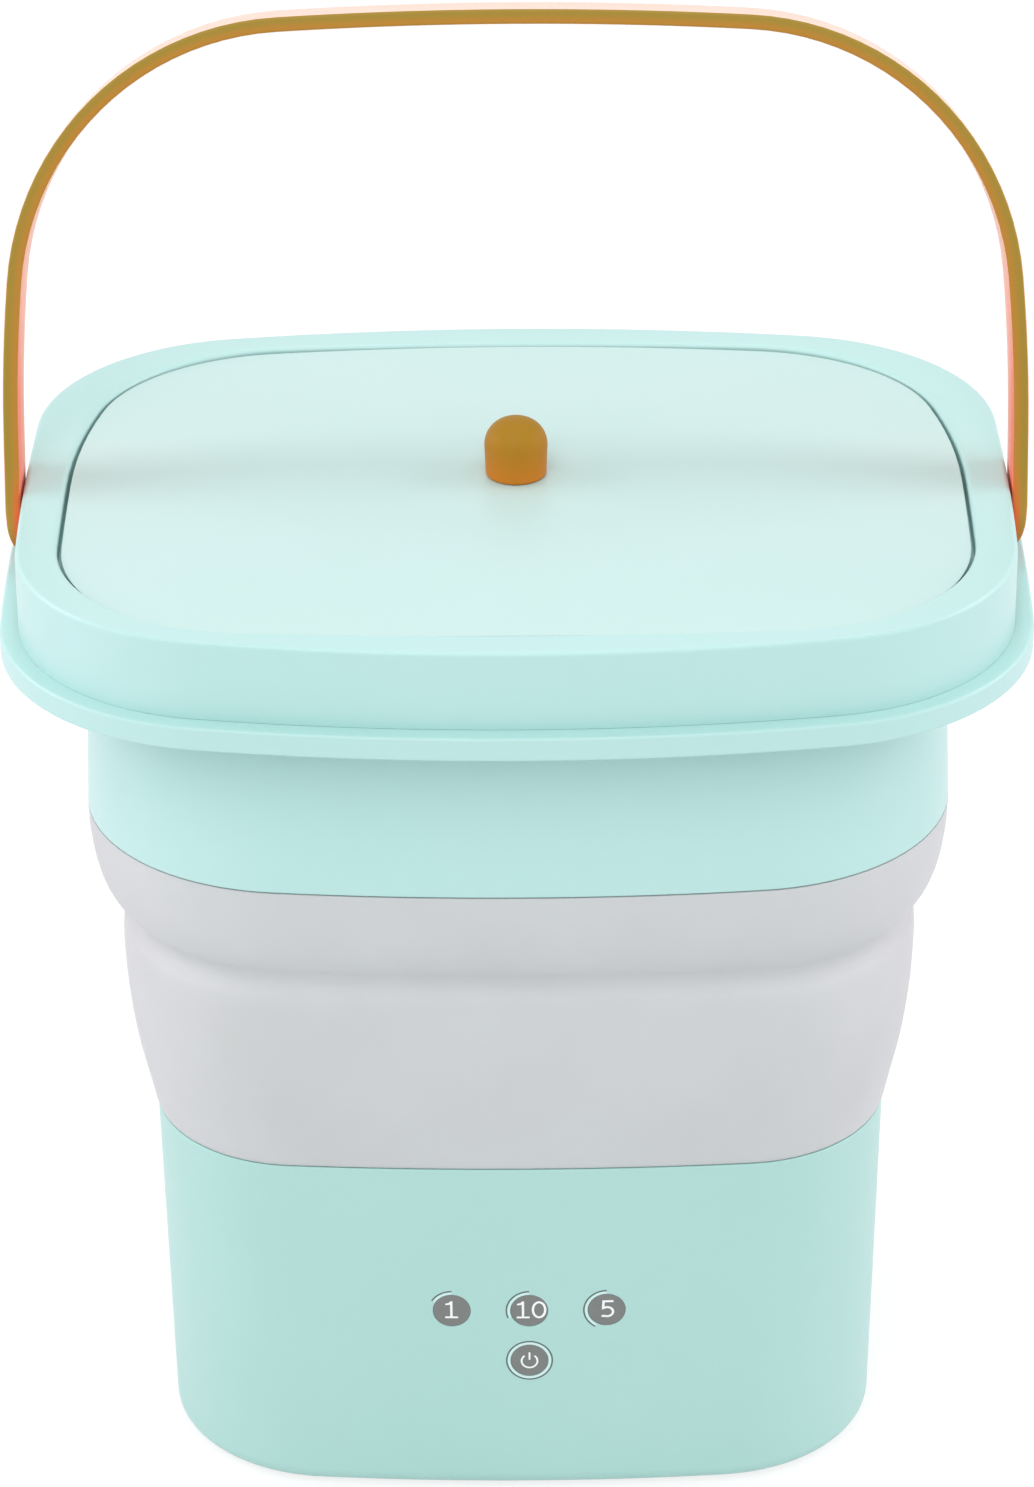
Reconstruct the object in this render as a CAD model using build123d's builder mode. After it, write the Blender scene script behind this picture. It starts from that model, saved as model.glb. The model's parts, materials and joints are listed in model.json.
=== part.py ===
from build123d import *
from math import cos, hypot, radians, sin, sqrt
import os

os.makedirs("parts", exist_ok=True)

# Foldable washing machine, in millimetres.
# Origin at the centre of the footprint, feet at height 0, +Z up, front face towards -Y.

# overall plan
body_width = 275.0
body_depth = 216.0

# heights, stacked from the floor
foot_height = 1.5
base_height = 106.0
bellows_height = 94.0
band_height = 51.0
rim_height = 6.5
frame_height = 22.0

base_top = foot_height + base_height
band_bottom = base_top + bellows_height
rim_bottom = band_bottom + band_height
rim_top = rim_bottom + rim_height
frame_top = rim_top + frame_height

# general clearances
seat_gap = 0.2
seam_gap = 0.3
run_gap = 0.05
press_gap = 0.02
hole_gap = 0.15

# screws
screw_core = 1.45
screw_head = 3.0
screw_head_height = 1.8
small_core = 0.85
small_head = 1.9
small_head_height = 1.3


# plan outline of eight tangent arcs, set in from the overall plan:
# half width, half depth, front and back radius, side radius, corner radius
def plan(inset_x, inset_y, front_radius, side_radius, corner_radius):
    half_width = body_width / 2 - inset_x
    half_depth = body_depth / 2 - inset_y
    return (half_width, half_depth, front_radius, side_radius, corner_radius)


def shrink(outline, inset):
    return tuple(value - inset for value in outline)


def between(first, second, share):
    return tuple(a + (b - a) * share for a, b in zip(first, second))


# end of the front arc, middle of the corner arc and end of the side arc, in the +X +Y quarter
def corner_points(outline):
    half_width, half_depth, front_radius, side_radius, corner_radius = outline
    front_y = half_depth - front_radius
    side_x = half_width - side_radius
    front_reach = front_radius - corner_radius
    side_reach = side_radius - corner_radius
    apart = hypot(side_x, front_y)
    along = (front_reach**2 - side_reach**2 + apart**2) / (2 * apart)
    across = sqrt(max(front_reach**2 - along**2, 0.0))
    corner_x = (side_x * along - front_y * across) / apart
    corner_y = front_y - (side_x * across + front_y * along) / apart
    front_ratio = front_radius / front_reach
    side_ratio = side_radius / side_reach
    front_end = (corner_x * front_ratio, front_y + (corner_y - front_y) * front_ratio)
    side_end = (side_x + (corner_x - side_x) * side_ratio, corner_y * side_ratio)
    lean_x = front_end[0] + side_end[0] - 2 * corner_x
    lean_y = front_end[1] + side_end[1] - 2 * corner_y
    reach = corner_radius / hypot(lean_x, lean_y)
    middle = (corner_x + lean_x * reach, corner_y + lean_y * reach)
    return front_end, middle, side_end


# the outline as a flat face at a height
def outline_face(outline, height):
    half_width, half_depth = outline[:2]
    (fx, fy), (mx, my), (sx, sy) = corner_points(outline)
    with BuildSketch(Plane.XY.offset(height)) as flat:
        with BuildLine():
            ThreePointArc((sx, -sy), (half_width, 0), (sx, sy))
            ThreePointArc((sx, sy), (mx, my), (fx, fy))
            ThreePointArc((fx, fy), (0, half_depth), (-fx, fy))
            ThreePointArc((-fx, fy), (-mx, my), (-sx, sy))
            ThreePointArc((-sx, sy), (-half_width, 0), (-sx, -sy))
            ThreePointArc((-sx, -sy), (-mx, -my), (-fx, -fy))
            ThreePointArc((-fx, -fy), (0, -half_depth), (fx, -fy))
            ThreePointArc((fx, -fy), (mx, -my), (sx, -sy))
        make_face()
    return flat.sketch


# upright block with that outline, from one height to another
def prism(outline, low, high, mode=Mode.ADD):
    extrude(outline_face(outline, low), amount=high - low, mode=mode)


# block whose outline changes evenly from one height to another
def taper(low_outline, low, high_outline, high, mode=Mode.ADD):
    ends = [outline_face(low_outline, low), outline_face(high_outline, high)]
    loft(sections=ends, ruled=True, mode=mode)


# round bars along Z, Y and X, and a flat ring along Z
def pillar(x, y, low, high, radius, mode=Mode.ADD):
    with Locations((x, y, (low + high) / 2)):
        Cylinder(radius, high - low, mode=mode)


def along_y(x, z, start, end, radius, mode=Mode.ADD):
    with Locations(Location((x, (start + end) / 2, z), (90, 0, 0))):
        Cylinder(radius, end - start, mode=mode)


def along_x(y, z, start, end, radius, mode=Mode.ADD):
    with Locations(Location(((start + end) / 2, y, z), (0, 90, 0))):
        Cylinder(radius, end - start, mode=mode)


def ring(low, high, outer, inner, mode=Mode.ADD):
    with BuildSketch(Plane.XY.offset(low)) as flat:
        Circle(outer)
        Circle(inner, mode=Mode.SUBTRACT)
    extrude(flat.sketch, amount=high - low, mode=mode)


# block standing on a height
def block(x, y, low, width, depth, height, mode=Mode.ADD):
    with Locations((x, y, low + height / 2)):
        Box(width, depth, height, mode=mode)


# pan-head screw with a cross recess, head at the given place and shank along its Z
def screw(place, length, core, head, head_height):
    with Locations(place):
        with Locations((0, 0, head_height / 2)):
            Cylinder(head, head_height)
        with Locations((0, 0, (head_height + length) / 2)):
            Cylinder(core, head_height + length)
        Box(head * 1.1, 0.5, head_height * 0.9, mode=Mode.SUBTRACT)
        Box(0.5, head * 1.1, head_height * 0.9, mode=Mode.SUBTRACT)


def four(x, y):
    return [(-x, -y), (-x, y), (x, -y), (x, y)]


rim_plan = plan(0.0, 0.0, 500.0, 1300.0, 64.0)
tub_plan = plan(20.0, 20.0, 610.0, 460.0, 58.0)
base_plan = plan(36.2, 36.2, 800.0, 850.0, 41.0)
sole_plan = plan(38.0, 38.0, 650.0, 600.0, 46.0)
lid_plan = plan(16.8, 16.6, 1000.0, 3000.0, 59.7)

# base housing
base_wall = 2.6
sole_round = 5.0
sole_steps = 6
lip_height = 4.2
cover_rebate = 7.0
cover_opening = 9.0

key_radius = 5.2
start_radius = 5.2
key_depth = 1.2
key_pitch = 21.4
key_shift = 2.2
key_row = 61.4
start_drop = 16.6

touch_width = 68.0
touch_low = 36.0
touch_high = 69.0
touch_space = 2.4
board_thick = 1.6
touch_screw_inset = 4.0
touch_screw_rise = 2.6
boss_radius = 2.5

outlet_height = 40.0
outlet_radius = 6.0
jack_x = -30.0
jack_height = 24.0
jack_radius = 4.0


# outline of the base housing at a height, and the half depth at a place on its front or back
def housing_plan(height):
    return between(sole_plan, base_plan, (height - foot_height) / base_height)


def housing_depth(x, height):
    outline = housing_plan(height)
    return outline[1] - outline[2] + sqrt(outline[2] ** 2 - x**2)


lip_top = foot_height + lip_height
touch_face = housing_depth(0, key_row) - base_wall - touch_space
touch_back = touch_face - board_thick
key_spots = [(key_shift + k * key_pitch, key_row, key_radius) for k in (-1, 0, 1)]
key_spots.append((key_shift, key_row - start_drop, start_radius))
key_names = ["key_one", "key_ten", "key_five", "key_start"]
touch_screw_x = touch_width / 2 - touch_screw_inset
touch_screws = [
    (key_shift + side * touch_screw_x, height)
    for side in (-1, 1)
    for height in (touch_low + touch_screw_rise, touch_high - touch_screw_rise)
]

housing_faces = [outline_face(base_plan, base_top)]
for step in range(sole_steps, -1, -1):
    turn = radians(90 * step / sole_steps)
    height = foot_height + sole_round * (1 - cos(turn))
    housing_faces.append(outline_face(shrink(housing_plan(height), sole_round * (1 - sin(turn))), height))

with BuildPart() as housing:
    loft(sections=housing_faces, ruled=True)

with BuildPart() as base_shell:
    add(housing.part)
    lip_plan = shrink(housing_plan(lip_top), base_wall)
    taper(lip_plan, lip_top, shrink(base_plan, base_wall), base_top, Mode.SUBTRACT)
    prism(shrink(sole_plan, cover_opening), foot_height, lip_top, Mode.SUBTRACT)
    prism(shrink(sole_plan, cover_rebate), foot_height, foot_height + lip_height / 2, Mode.SUBTRACT)
    for x, z in touch_screws:
        wall_inside = housing_depth(x, z) - base_wall
        along_y(x, z, -wall_inside - 0.8, -touch_face - seat_gap, boss_radius)
        along_y(x, z, -wall_inside - 0.4, -touch_face, small_core + run_gap, Mode.SUBTRACT)
    for x, z, radius in key_spots:
        recess = housing_depth(x, z) - key_depth
        along_y(x, z, -body_depth, -recess, radius + run_gap, Mode.SUBTRACT)
    along_y(0, outlet_height, base_plan[1] / 2, body_depth, outlet_radius + hole_gap, Mode.SUBTRACT)
    along_y(jack_x, jack_height, base_plan[1] / 2, body_depth, jack_radius + hole_gap, Mode.SUBTRACT)
base_shell.part.label = "base_shell"
export_step(base_shell.part, "parts/base_shell.step")

# touch keys, flush with the curved front of the housing
for name, (x, z, radius) in zip(key_names, key_spots):
    with BuildPart() as key:
        add(housing.part)
        back = housing_depth(x, z) - key_depth + press_gap
        along_y(x, z, -back - body_depth, -back, radius, Mode.INTERSECT)
    key.part.label = name
    export_step(key.part, f"parts/{name}.step")

# bottom cover with its feet and screws
cover_thick = 3.0
cover_gap = 0.3
pillar_edge_x = 25.5
pillar_edge_y = 28.0
pillar_radius = 4.5
foot_edge_x = 39.5
foot_edge_y = 30.0
foot_radius = 7.0
foot_recess = 0.8
vent_length = 34.0
vent_width = 2.4
vent_pitch = 8.0
vent_count = 7
board_edge = 13.5
board_width = 40.0
board_length = 60.0
board_post = 4.5
board_screw_inset = 4.0
cover_screw_length = 11.0

pillar_spots = four(sole_plan[0] - pillar_edge_x, sole_plan[1] - pillar_edge_y)
foot_spots = four(sole_plan[0] - foot_edge_x, sole_plan[1] - foot_edge_y)
cover_top = foot_height + cover_thick
board_low = cover_top + board_post
board_top = board_low + board_thick
board_x = -sole_plan[0] + board_edge + board_width / 2
board_screw_x = board_width / 2 - board_screw_inset
board_screw_y = board_length / 2 - board_screw_inset
board_spots = [(board_x + x, y) for x, y in four(board_screw_x, board_screw_y)]

with BuildPart() as base_cover:
    flange_plan = shrink(sole_plan, cover_rebate + cover_gap)
    prism(flange_plan, foot_height, foot_height + lip_height / 2 - seat_gap)
    prism(shrink(sole_plan, cover_opening + cover_gap), foot_height, cover_top)
    for x, y in board_spots:
        pillar(x, y, cover_top - 0.5, board_low, boss_radius)
        pillar(x, y, cover_top - 1.5, board_low, small_core + run_gap, Mode.SUBTRACT)
    for x, y in pillar_spots:
        pillar(x, y, foot_height, cover_top, screw_core + hole_gap, Mode.SUBTRACT)
        pillar(x, y, foot_height, foot_height + screw_head_height, screw_head + hole_gap, Mode.SUBTRACT)
    for x, y in foot_spots:
        pillar(x, y, foot_height, foot_height + foot_recess, foot_radius + hole_gap, Mode.SUBTRACT)
    with GridLocations(vent_pitch, 0, vent_count, 1):
        Box(vent_width, vent_length, 4 * cover_top, mode=Mode.SUBTRACT)
base_cover.part.label = "base_cover"
export_step(base_cover.part, "parts/base_cover.step")

with BuildPart() as feet:
    for x, y in foot_spots:
        pillar(x, y, 0, foot_height + foot_recess, foot_radius)
    fillet(feet.edges().group_by(Axis.Z)[0], radius=foot_height / 3)
feet.part.label = "feet"
export_step(feet.part, "parts/feet.step")

with BuildPart() as cover_screws:
    for x, y in pillar_spots:
        place = Location((x, y, foot_height))
        screw(place, cover_screw_length, screw_core, screw_head, screw_head_height)
cover_screws.part.label = "cover_screws"
export_step(cover_screws.part, "parts/cover_screws.step")

# wash basin with its hub, pillars and drain spigot, set inside the housing
basin_low = 70.0
basin_floor = 2.5
basin_wall = 2.2
basin_rise = 4.0
tail_gap = 0.4
tail_thick = 2.0
hub_radius = 16.0
hub_drop = 6.0
hub_rise = 9.5
shaft_radius = 4.0
bearing_radius = 11.0
bearing_height = 7.0
seal_radius = 9.5
seal_height = 5.6
bracket_hole_x = 34.0
bracket_hole_y = 24.0
bracket_boss = 4.0
drain_edge = 16.4
spigot_radius = 4.55
spigot_bore = 3.2
spigot_length = 17.0

basin_plan = shrink(base_plan, base_wall + tail_gap + tail_thick + tail_gap)
basin_top = base_top + basin_rise
floor_top = basin_low + basin_floor
hub_low = basin_low - hub_drop
hub_high = floor_top + hub_rise
drain_y = basin_plan[1] - drain_edge
bracket_spots = four(bracket_hole_x, bracket_hole_y)
pillar_low = cover_top + seat_gap
screw_tip = foot_height + screw_head_height + cover_screw_length

with BuildPart() as tub_basin:
    prism(basin_plan, basin_low, basin_top)
    prism(shrink(basin_plan, basin_wall), floor_top, basin_top, Mode.SUBTRACT)
    pillar(0, 0, hub_low, hub_high, hub_radius)
    for x, y in bracket_spots:
        pillar(x, y, hub_low, floor_top - 0.5, bracket_boss)
        pillar(x, y, hub_low, basin_low, screw_core + run_gap, Mode.SUBTRACT)
    for x, y in pillar_spots:
        pillar(x, y, pillar_low, floor_top - 0.5, pillar_radius)
        pillar(x, y, pillar_low, screw_tip + 1, screw_core + run_gap, Mode.SUBTRACT)
    pillar(0, drain_y, basin_low - spigot_length, floor_top - 0.5, spigot_radius)
    pillar(0, drain_y, basin_low - spigot_length, floor_top, spigot_bore, Mode.SUBTRACT)
    pillar(0, 0, hub_low, hub_low + bearing_height, bearing_radius + press_gap, Mode.SUBTRACT)
    pillar(0, 0, hub_high - seal_height, hub_high, seal_radius + press_gap, Mode.SUBTRACT)
    pillar(0, 0, hub_low, hub_high, shaft_radius + 1, Mode.SUBTRACT)
tub_basin.part.label = "tub_basin"
export_step(tub_basin.part, "parts/tub_basin.step")

with BuildPart() as shaft_bearing:
    ring(hub_low, hub_low + bearing_height - press_gap, bearing_radius, shaft_radius + run_gap)
    ring(hub_low, hub_low + 0.6, bearing_radius - 1.8, shaft_radius + 1.8, Mode.SUBTRACT)
shaft_bearing.part.label = "shaft_bearing"
export_step(shaft_bearing.part, "parts/shaft_bearing.step")

with BuildPart() as shaft_seal:
    ring(hub_high - seal_height + press_gap, hub_high, seal_radius, shaft_radius + run_gap)
    ring(hub_high - 2.0, hub_high, seal_radius - 1.6, shaft_radius + 1.4, Mode.SUBTRACT)
shaft_seal.part.label = "shaft_seal"
export_step(shaft_seal.part, "parts/shaft_seal.step")

# motor bracket, can, magnets, end cap and screws
bracket_thick = 2.0
bracket_edge = 8.0
can_radius = 30.0
can_wall = 1.5
can_length = 38.0
can_window = 12.0
magnet_thick = 9.5
magnet_margin = 7.0
rotor_gap = 0.8
cap_thick = 2.5
cap_rim = 3.0
bush_wall = 3.0
motor_screw_ring = 22.0
motor_screw_head = 2.5
motor_screw_length = 5.5
bracket_screw_length = 7.0

bracket_high = hub_low - seat_gap
bracket_low = bracket_high - bracket_thick
can_low = bracket_low - can_length
cap_low = can_low - cap_thick
can_bore = can_radius - can_wall
magnet_bore = can_bore - seat_gap - magnet_thick
motor_spots = four(motor_screw_ring * sqrt(0.5), motor_screw_ring * sqrt(0.5))
bracket_width = 2 * (bracket_hole_x + bracket_edge)
bracket_length = 2 * (bracket_hole_y + bracket_edge)

with BuildPart() as motor_bracket:
    with BuildSketch(Plane.XY.offset(bracket_low)):
        RectangleRounded(bracket_width, bracket_length, bracket_edge)
        Circle(shaft_radius + bush_wall, mode=Mode.SUBTRACT)
        with Locations(*bracket_spots, *motor_spots):
            Circle(screw_core + hole_gap, mode=Mode.SUBTRACT)
    extrude(amount=bracket_thick)
motor_bracket.part.label = "motor_bracket"
export_step(motor_bracket.part, "parts/motor_bracket.step")

with BuildPart() as motor_can:
    pillar(0, 0, can_low, bracket_low, can_radius)
    fillet(motor_can.faces().sort_by(Axis.Z)[-1].edges(), radius=can_wall)
    pillar(0, 0, can_low, bracket_low - can_wall, can_bore, Mode.SUBTRACT)
    pillar(0, 0, can_low, bracket_low, shaft_radius + 2, Mode.SUBTRACT)
    for x, y in motor_spots:
        pillar(x, y, can_low, bracket_low, screw_core + run_gap, Mode.SUBTRACT)
    with Locations((0, 0, can_low + can_length / 2)):
        with PolarLocations(can_radius, 4):
            Box(4 * can_wall, can_window * 0.75, can_window, mode=Mode.SUBTRACT)
motor_can.part.label = "motor_can"
export_step(motor_can.part, "parts/motor_can.step")

with BuildPart() as motor_magnets:
    magnet_low = can_low + magnet_margin
    magnet_high = bracket_low - magnet_margin
    ring(magnet_low, magnet_high, can_bore - seat_gap, magnet_bore)
    with Locations((0, 0, (magnet_low + magnet_high) / 2)):
        Box(3 * can_radius, 3, can_length, mode=Mode.SUBTRACT)
        Box(3, 3 * can_radius, can_length, mode=Mode.SUBTRACT)
motor_magnets.part.label = "motor_magnets"
export_step(motor_magnets.part, "parts/motor_magnets.step")

with BuildPart() as motor_cap:
    pillar(0, 0, cap_low, can_low, can_radius)
    ring(can_low, can_low + cap_rim, can_bore - seat_gap, can_bore - seat_gap - can_wall)
    pillar(0, 0, cap_low - cap_thick, can_low + cap_rim / 2, shaft_radius + bush_wall)
    pillar(0, 0, cap_low - cap_thick, can_low + cap_rim, shaft_radius + run_gap, Mode.SUBTRACT)
motor_cap.part.label = "motor_cap"
export_step(motor_cap.part, "parts/motor_cap.step")

with BuildPart() as bracket_screws:
    for x, y in bracket_spots:
        place = Location((x, y, bracket_low - screw_head_height))
        screw(place, bracket_screw_length, screw_core, screw_head, screw_head_height)
bracket_screws.part.label = "bracket_screws"
export_step(bracket_screws.part, "parts/bracket_screws.step")

with BuildPart() as motor_screws:
    for x, y in motor_spots:
        place = Location((x, y, bracket_high + screw_head_height), (180, 0, 0))
        screw(place, motor_screw_length, screw_core, motor_screw_head, screw_head_height)
motor_screws.part.label = "motor_screws"
export_step(motor_screws.part, "parts/motor_screws.step")

# pulsator with its shaft, rotor and screw
pulsator_radius = 56.0
pulsator_gap = 4.0
pulsator_edge = 2.6
dome_low_radius = 30.0
dome_high_radius = 13.0
dome_rise = 21.5
hub_space = 2.0
shaft_grip = 9.0
cap_recess = 5.0
vane_count = 6
vane_width = 5.0
vane_rise = 11.0
pulsator_core = 1.6
pulsator_screw_length = 9.0
rotor_length = 22.0
rotor_slots = 8
shaft_below = 1.0

pulsator_low = floor_top + pulsator_gap
pulsator_high = pulsator_low + dome_rise
edge_high = pulsator_low + pulsator_edge
cavity_top = hub_high + hub_space
cavity_radius = hub_radius + hub_space
shaft_high = cavity_top + shaft_grip
shaft_low = cap_low - cap_thick - shaft_below
vane_start = cavity_radius + 2.5
vane_end = pulsator_radius - 3.0

with BuildPart() as vane:
    with BuildSketch(Plane.XZ):
        with BuildLine():
            Polyline(
                (vane_start, edge_high - 0.6),
                (vane_end, edge_high - 0.6),
                (vane_end, edge_high + vane_rise * 0.2),
                (vane_end - 9, edge_high + vane_rise * 0.5),
                (dome_low_radius, edge_high + vane_rise * 0.75),
                (vane_start, edge_high + vane_rise),
                close=True,
            )
        make_face()
    extrude(amount=vane_width / 2, both=True)

with BuildPart() as pulsator:
    with BuildSketch(Plane.XZ):
        with BuildLine():
            Polyline(
                (cap_recess + 2.4, pulsator_high),
                (cap_recess, pulsator_high),
                (cap_recess, shaft_high),
                (shaft_radius + run_gap, shaft_high),
                (shaft_radius + run_gap, cavity_top),
                (cavity_radius, cavity_top),
                (cavity_radius, pulsator_low),
                (pulsator_radius - 1, pulsator_low),
                (pulsator_radius, pulsator_low + 1),
                (pulsator_radius, edge_high - 0.8),
                (pulsator_radius - 0.8, edge_high),
                (dome_low_radius, edge_high + 1.6),
            )
            Spline(
                (dome_low_radius, edge_high + 1.6),
                ((dome_low_radius + dome_high_radius) / 2, (edge_high + pulsator_high) / 2 - 1),
                (dome_high_radius, pulsator_high - 1.2),
                (cap_recess + 2.4, pulsator_high),
            )
        make_face()
    revolve(axis=Axis.Z)
    with PolarLocations(0, vane_count):
        add(vane.part)
pulsator.part.label = "pulsator"
export_step(pulsator.part, "parts/pulsator.step")

with BuildPart() as drive_shaft:
    pillar(0, 0, shaft_low, shaft_high - seat_gap, shaft_radius)
    chamfer(drive_shaft.faces().sort_by(Axis.Z)[0].edges(), length=0.6)
    pillar(0, 0, shaft_high - pulsator_screw_length - 1, shaft_high, pulsator_core + run_gap, Mode.SUBTRACT)
drive_shaft.part.label = "drive_shaft"
export_step(drive_shaft.part, "parts/drive_shaft.step")

with BuildPart() as motor_rotor:
    rotor_middle = can_low + can_length / 2
    rotor_low = rotor_middle - rotor_length / 2
    rotor_radius = magnet_bore - rotor_gap
    ring(rotor_low, rotor_low + rotor_length, rotor_radius, shaft_radius + press_gap)
    with Locations((0, 0, rotor_middle)):
        with PolarLocations(rotor_radius, rotor_slots):
            Box(6, 2, rotor_length, mode=Mode.SUBTRACT)
motor_rotor.part.label = "motor_rotor"
export_step(motor_rotor.part, "parts/motor_rotor.step")

with BuildPart() as pulsator_screw:
    place = Location((0, 0, shaft_high + seat_gap + screw_head_height), (180, 0, 0))
    screw(place, pulsator_screw_length, pulsator_core, cap_recess - 2 * hole_gap, screw_head_height)
pulsator_screw.part.label = "pulsator_screw"
export_step(pulsator_screw.part, "parts/pulsator_screw.step")

# drain elbow, outlet and plug at the back
elbow_wall = 1.4
elbow_radius = 9.0
elbow_sleeve = 2.0
outlet_flange_radius = 9.0
outlet_flange = 1.5
outlet_reach = 12.0
outlet_spigot = 5.0
plug_stem = 9.0
plug_disc_radius = 7.5
plug_disc = 2.6
plug_grip = 6.0
plug_grip_thick = 2.4
seal_section = 0.55

elbow_bore = spigot_radius + run_gap
outlet_wall = housing_depth(outlet_flange_radius, outlet_height) - base_wall
flange_front = outlet_wall - seat_gap
flange_back = flange_front - outlet_flange
elbow_end = flange_back - seat_gap
outlet_end = outlet_wall + base_wall + outlet_reach
plug_face = outlet_end + seam_gap
seal_outer = spigot_bore - press_gap
seal_y = outlet_end - plug_stem / 2

with BuildPart() as drain_elbow:
    with BuildLine(Plane.YZ):
        Line((drain_y, basin_low - elbow_sleeve), (drain_y, outlet_height + elbow_radius))
        CenterArc((drain_y + elbow_radius, outlet_height + elbow_radius), elbow_radius, 180, 90)
        Line((drain_y + elbow_radius, outlet_height), (elbow_end, outlet_height))
    with BuildSketch(Plane.XY.offset(basin_low - elbow_sleeve)):
        with Locations((0, drain_y)):
            Circle(elbow_bore + elbow_wall)
            Circle(elbow_bore, mode=Mode.SUBTRACT)
    sweep()
drain_elbow.part.label = "drain_elbow"
export_step(drain_elbow.part, "parts/drain_elbow.step")

with BuildPart() as drain_outlet:
    along_y(0, outlet_height, elbow_end - outlet_spigot, flange_front, spigot_radius)
    along_y(0, outlet_height, flange_back, flange_front, outlet_flange_radius)
    along_y(0, outlet_height, flange_back, outlet_end, outlet_radius)
    along_y(0, outlet_height, elbow_end - outlet_spigot, outlet_end, spigot_bore, Mode.SUBTRACT)
    chamfer(drain_outlet.faces().sort_by(Axis.Y)[-1].outer_wire().edges(), length=0.8)
drain_outlet.part.label = "drain_outlet"
export_step(drain_outlet.part, "parts/drain_outlet.step")

with BuildPart() as drain_plug:
    along_y(0, outlet_height, plug_face, plug_face + plug_disc, plug_disc_radius)
    fillet(drain_plug.faces().sort_by(Axis.Y)[-1].edges(), radius=0.8)
    along_y(0, outlet_height, plug_face - seam_gap - plug_stem, plug_face, spigot_bore - run_gap)
    with Locations((0, plug_face + plug_disc / 2 + plug_grip / 2, outlet_height)):
        Box(plug_disc_radius * 1.3, plug_grip + plug_disc, plug_grip_thick)
    groove_start = seal_y - seal_section - press_gap
    groove_end = seal_y + seal_section + press_gap
    with BuildSketch(Plane.XZ.offset(-groove_end)) as groove:
        with Locations((0, outlet_height)):
            Circle(spigot_bore + 1)
            Circle(seal_outer - 2 * seal_section - press_gap, mode=Mode.SUBTRACT)
    extrude(groove.sketch, amount=groove_end - groove_start, mode=Mode.SUBTRACT)
drain_plug.part.label = "drain_plug"
export_step(drain_plug.part, "parts/drain_plug.step")

with BuildPart() as plug_seal:
    with Locations(Location((0, seal_y, outlet_height), (90, 0, 0))):
        Torus(seal_outer - seal_section, seal_section)
plug_seal.part.label = "plug_seal"
export_step(plug_seal.part, "parts/plug_seal.step")

# power jack at the back, with its nut and centre pin
jack_flange_radius = 5.6
jack_flange = 1.2
jack_length = 13.0
jack_bore = 2.75
jack_bore_depth = 9.0
jack_pin_radius = 1.0
jack_nut_radius = 6.2
jack_nut_thick = 2.4

jack_seat = housing_depth(abs(jack_x) - jack_flange_radius, jack_height) + seat_gap
jack_face = jack_seat + jack_flange
jack_rear = jack_seat - jack_length
nut_front = housing_depth(abs(jack_x) + jack_nut_radius, jack_height) - base_wall - seat_gap

with BuildPart() as dc_jack:
    along_y(jack_x, jack_height, jack_rear, jack_face, jack_radius)
    along_y(jack_x, jack_height, jack_seat, jack_face, jack_flange_radius)
    along_y(jack_x, jack_height, jack_face - jack_bore_depth, jack_face, jack_bore, Mode.SUBTRACT)
    pin_hole = jack_pin_radius + press_gap
    along_y(jack_x, jack_height, jack_rear + 1, jack_face, pin_hole, Mode.SUBTRACT)
dc_jack.part.label = "dc_jack"
export_step(dc_jack.part, "parts/dc_jack.step")

with BuildPart() as jack_pin:
    along_y(jack_x, jack_height, jack_rear + 1 + press_gap, jack_face - 1.5, jack_pin_radius)
    fillet(jack_pin.faces().sort_by(Axis.Y)[-1].edges(), radius=jack_pin_radius * 0.6)
jack_pin.part.label = "jack_pin"
export_step(jack_pin.part, "parts/jack_pin.step")

with BuildPart() as jack_nut:
    with BuildSketch(Plane.XZ.offset(-nut_front)):
        with Locations((jack_x, jack_height)):
            RegularPolygon(jack_nut_radius, 6)
            Circle(jack_radius + run_gap, mode=Mode.SUBTRACT)
    extrude(amount=jack_nut_thick)
jack_nut.part.label = "jack_nut"
export_step(jack_nut.part, "parts/jack_nut.step")

# circuit boards, their components, screws and leads
plug_width = 8.0
plug_length = 6.0
plug_height = 7.0
plug_inset = 10.0
plug_rows = [20.0, 2.0, -16.0]
touch_plug_x = -24.0
touch_plug_rise = 6.0
touch_plug_depth = 5.0
pad_radius = 4.0
pad_space = 0.5
board_screw_length = 5.0
lead_radius = 1.1

plug_x = board_x + plug_inset
plug_top = board_top + plug_height
touch_middle = (touch_low + touch_high) / 2
touch_plug_height = touch_low + touch_plug_rise
touch_plug_end = -touch_back + touch_plug_depth

with BuildPart() as control_board:
    block(board_x, 0, board_low, board_width, board_length, board_thick)
    for x, y in board_spots:
        pillar(x, y, board_low, board_top, small_core + hole_gap, Mode.SUBTRACT)
control_board.part.label = "control_board"
export_step(control_board.part, "parts/control_board.step")

with BuildPart() as touch_board:
    with Locations((key_shift, -(touch_face + touch_back) / 2, touch_middle)):
        Box(touch_width, board_thick, touch_high - touch_low)
    for x, z in touch_screws:
        along_y(x, z, -touch_face, -touch_back, small_core + hole_gap, Mode.SUBTRACT)
touch_board.part.label = "touch_board"
export_step(touch_board.part, "parts/touch_board.step")

with BuildPart() as board_components:
    for row in plug_rows:
        block(plug_x, row, board_top, plug_width, plug_length, plug_height)
    pillar(board_x - 9, 14, board_top, board_top + 13, 5)
    block(board_x - 8, -6, board_top, 11, 11, 1.8)
    block(board_x - 8, -21, board_top, 9, 5, 9)
    with Locations((key_shift + touch_plug_x, -touch_back + touch_plug_depth / 2, touch_plug_height)):
        Box(plug_width, touch_plug_depth, plug_length)
board_components.part.label = "board_components"
export_step(board_components.part, "parts/board_components.step")

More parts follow.
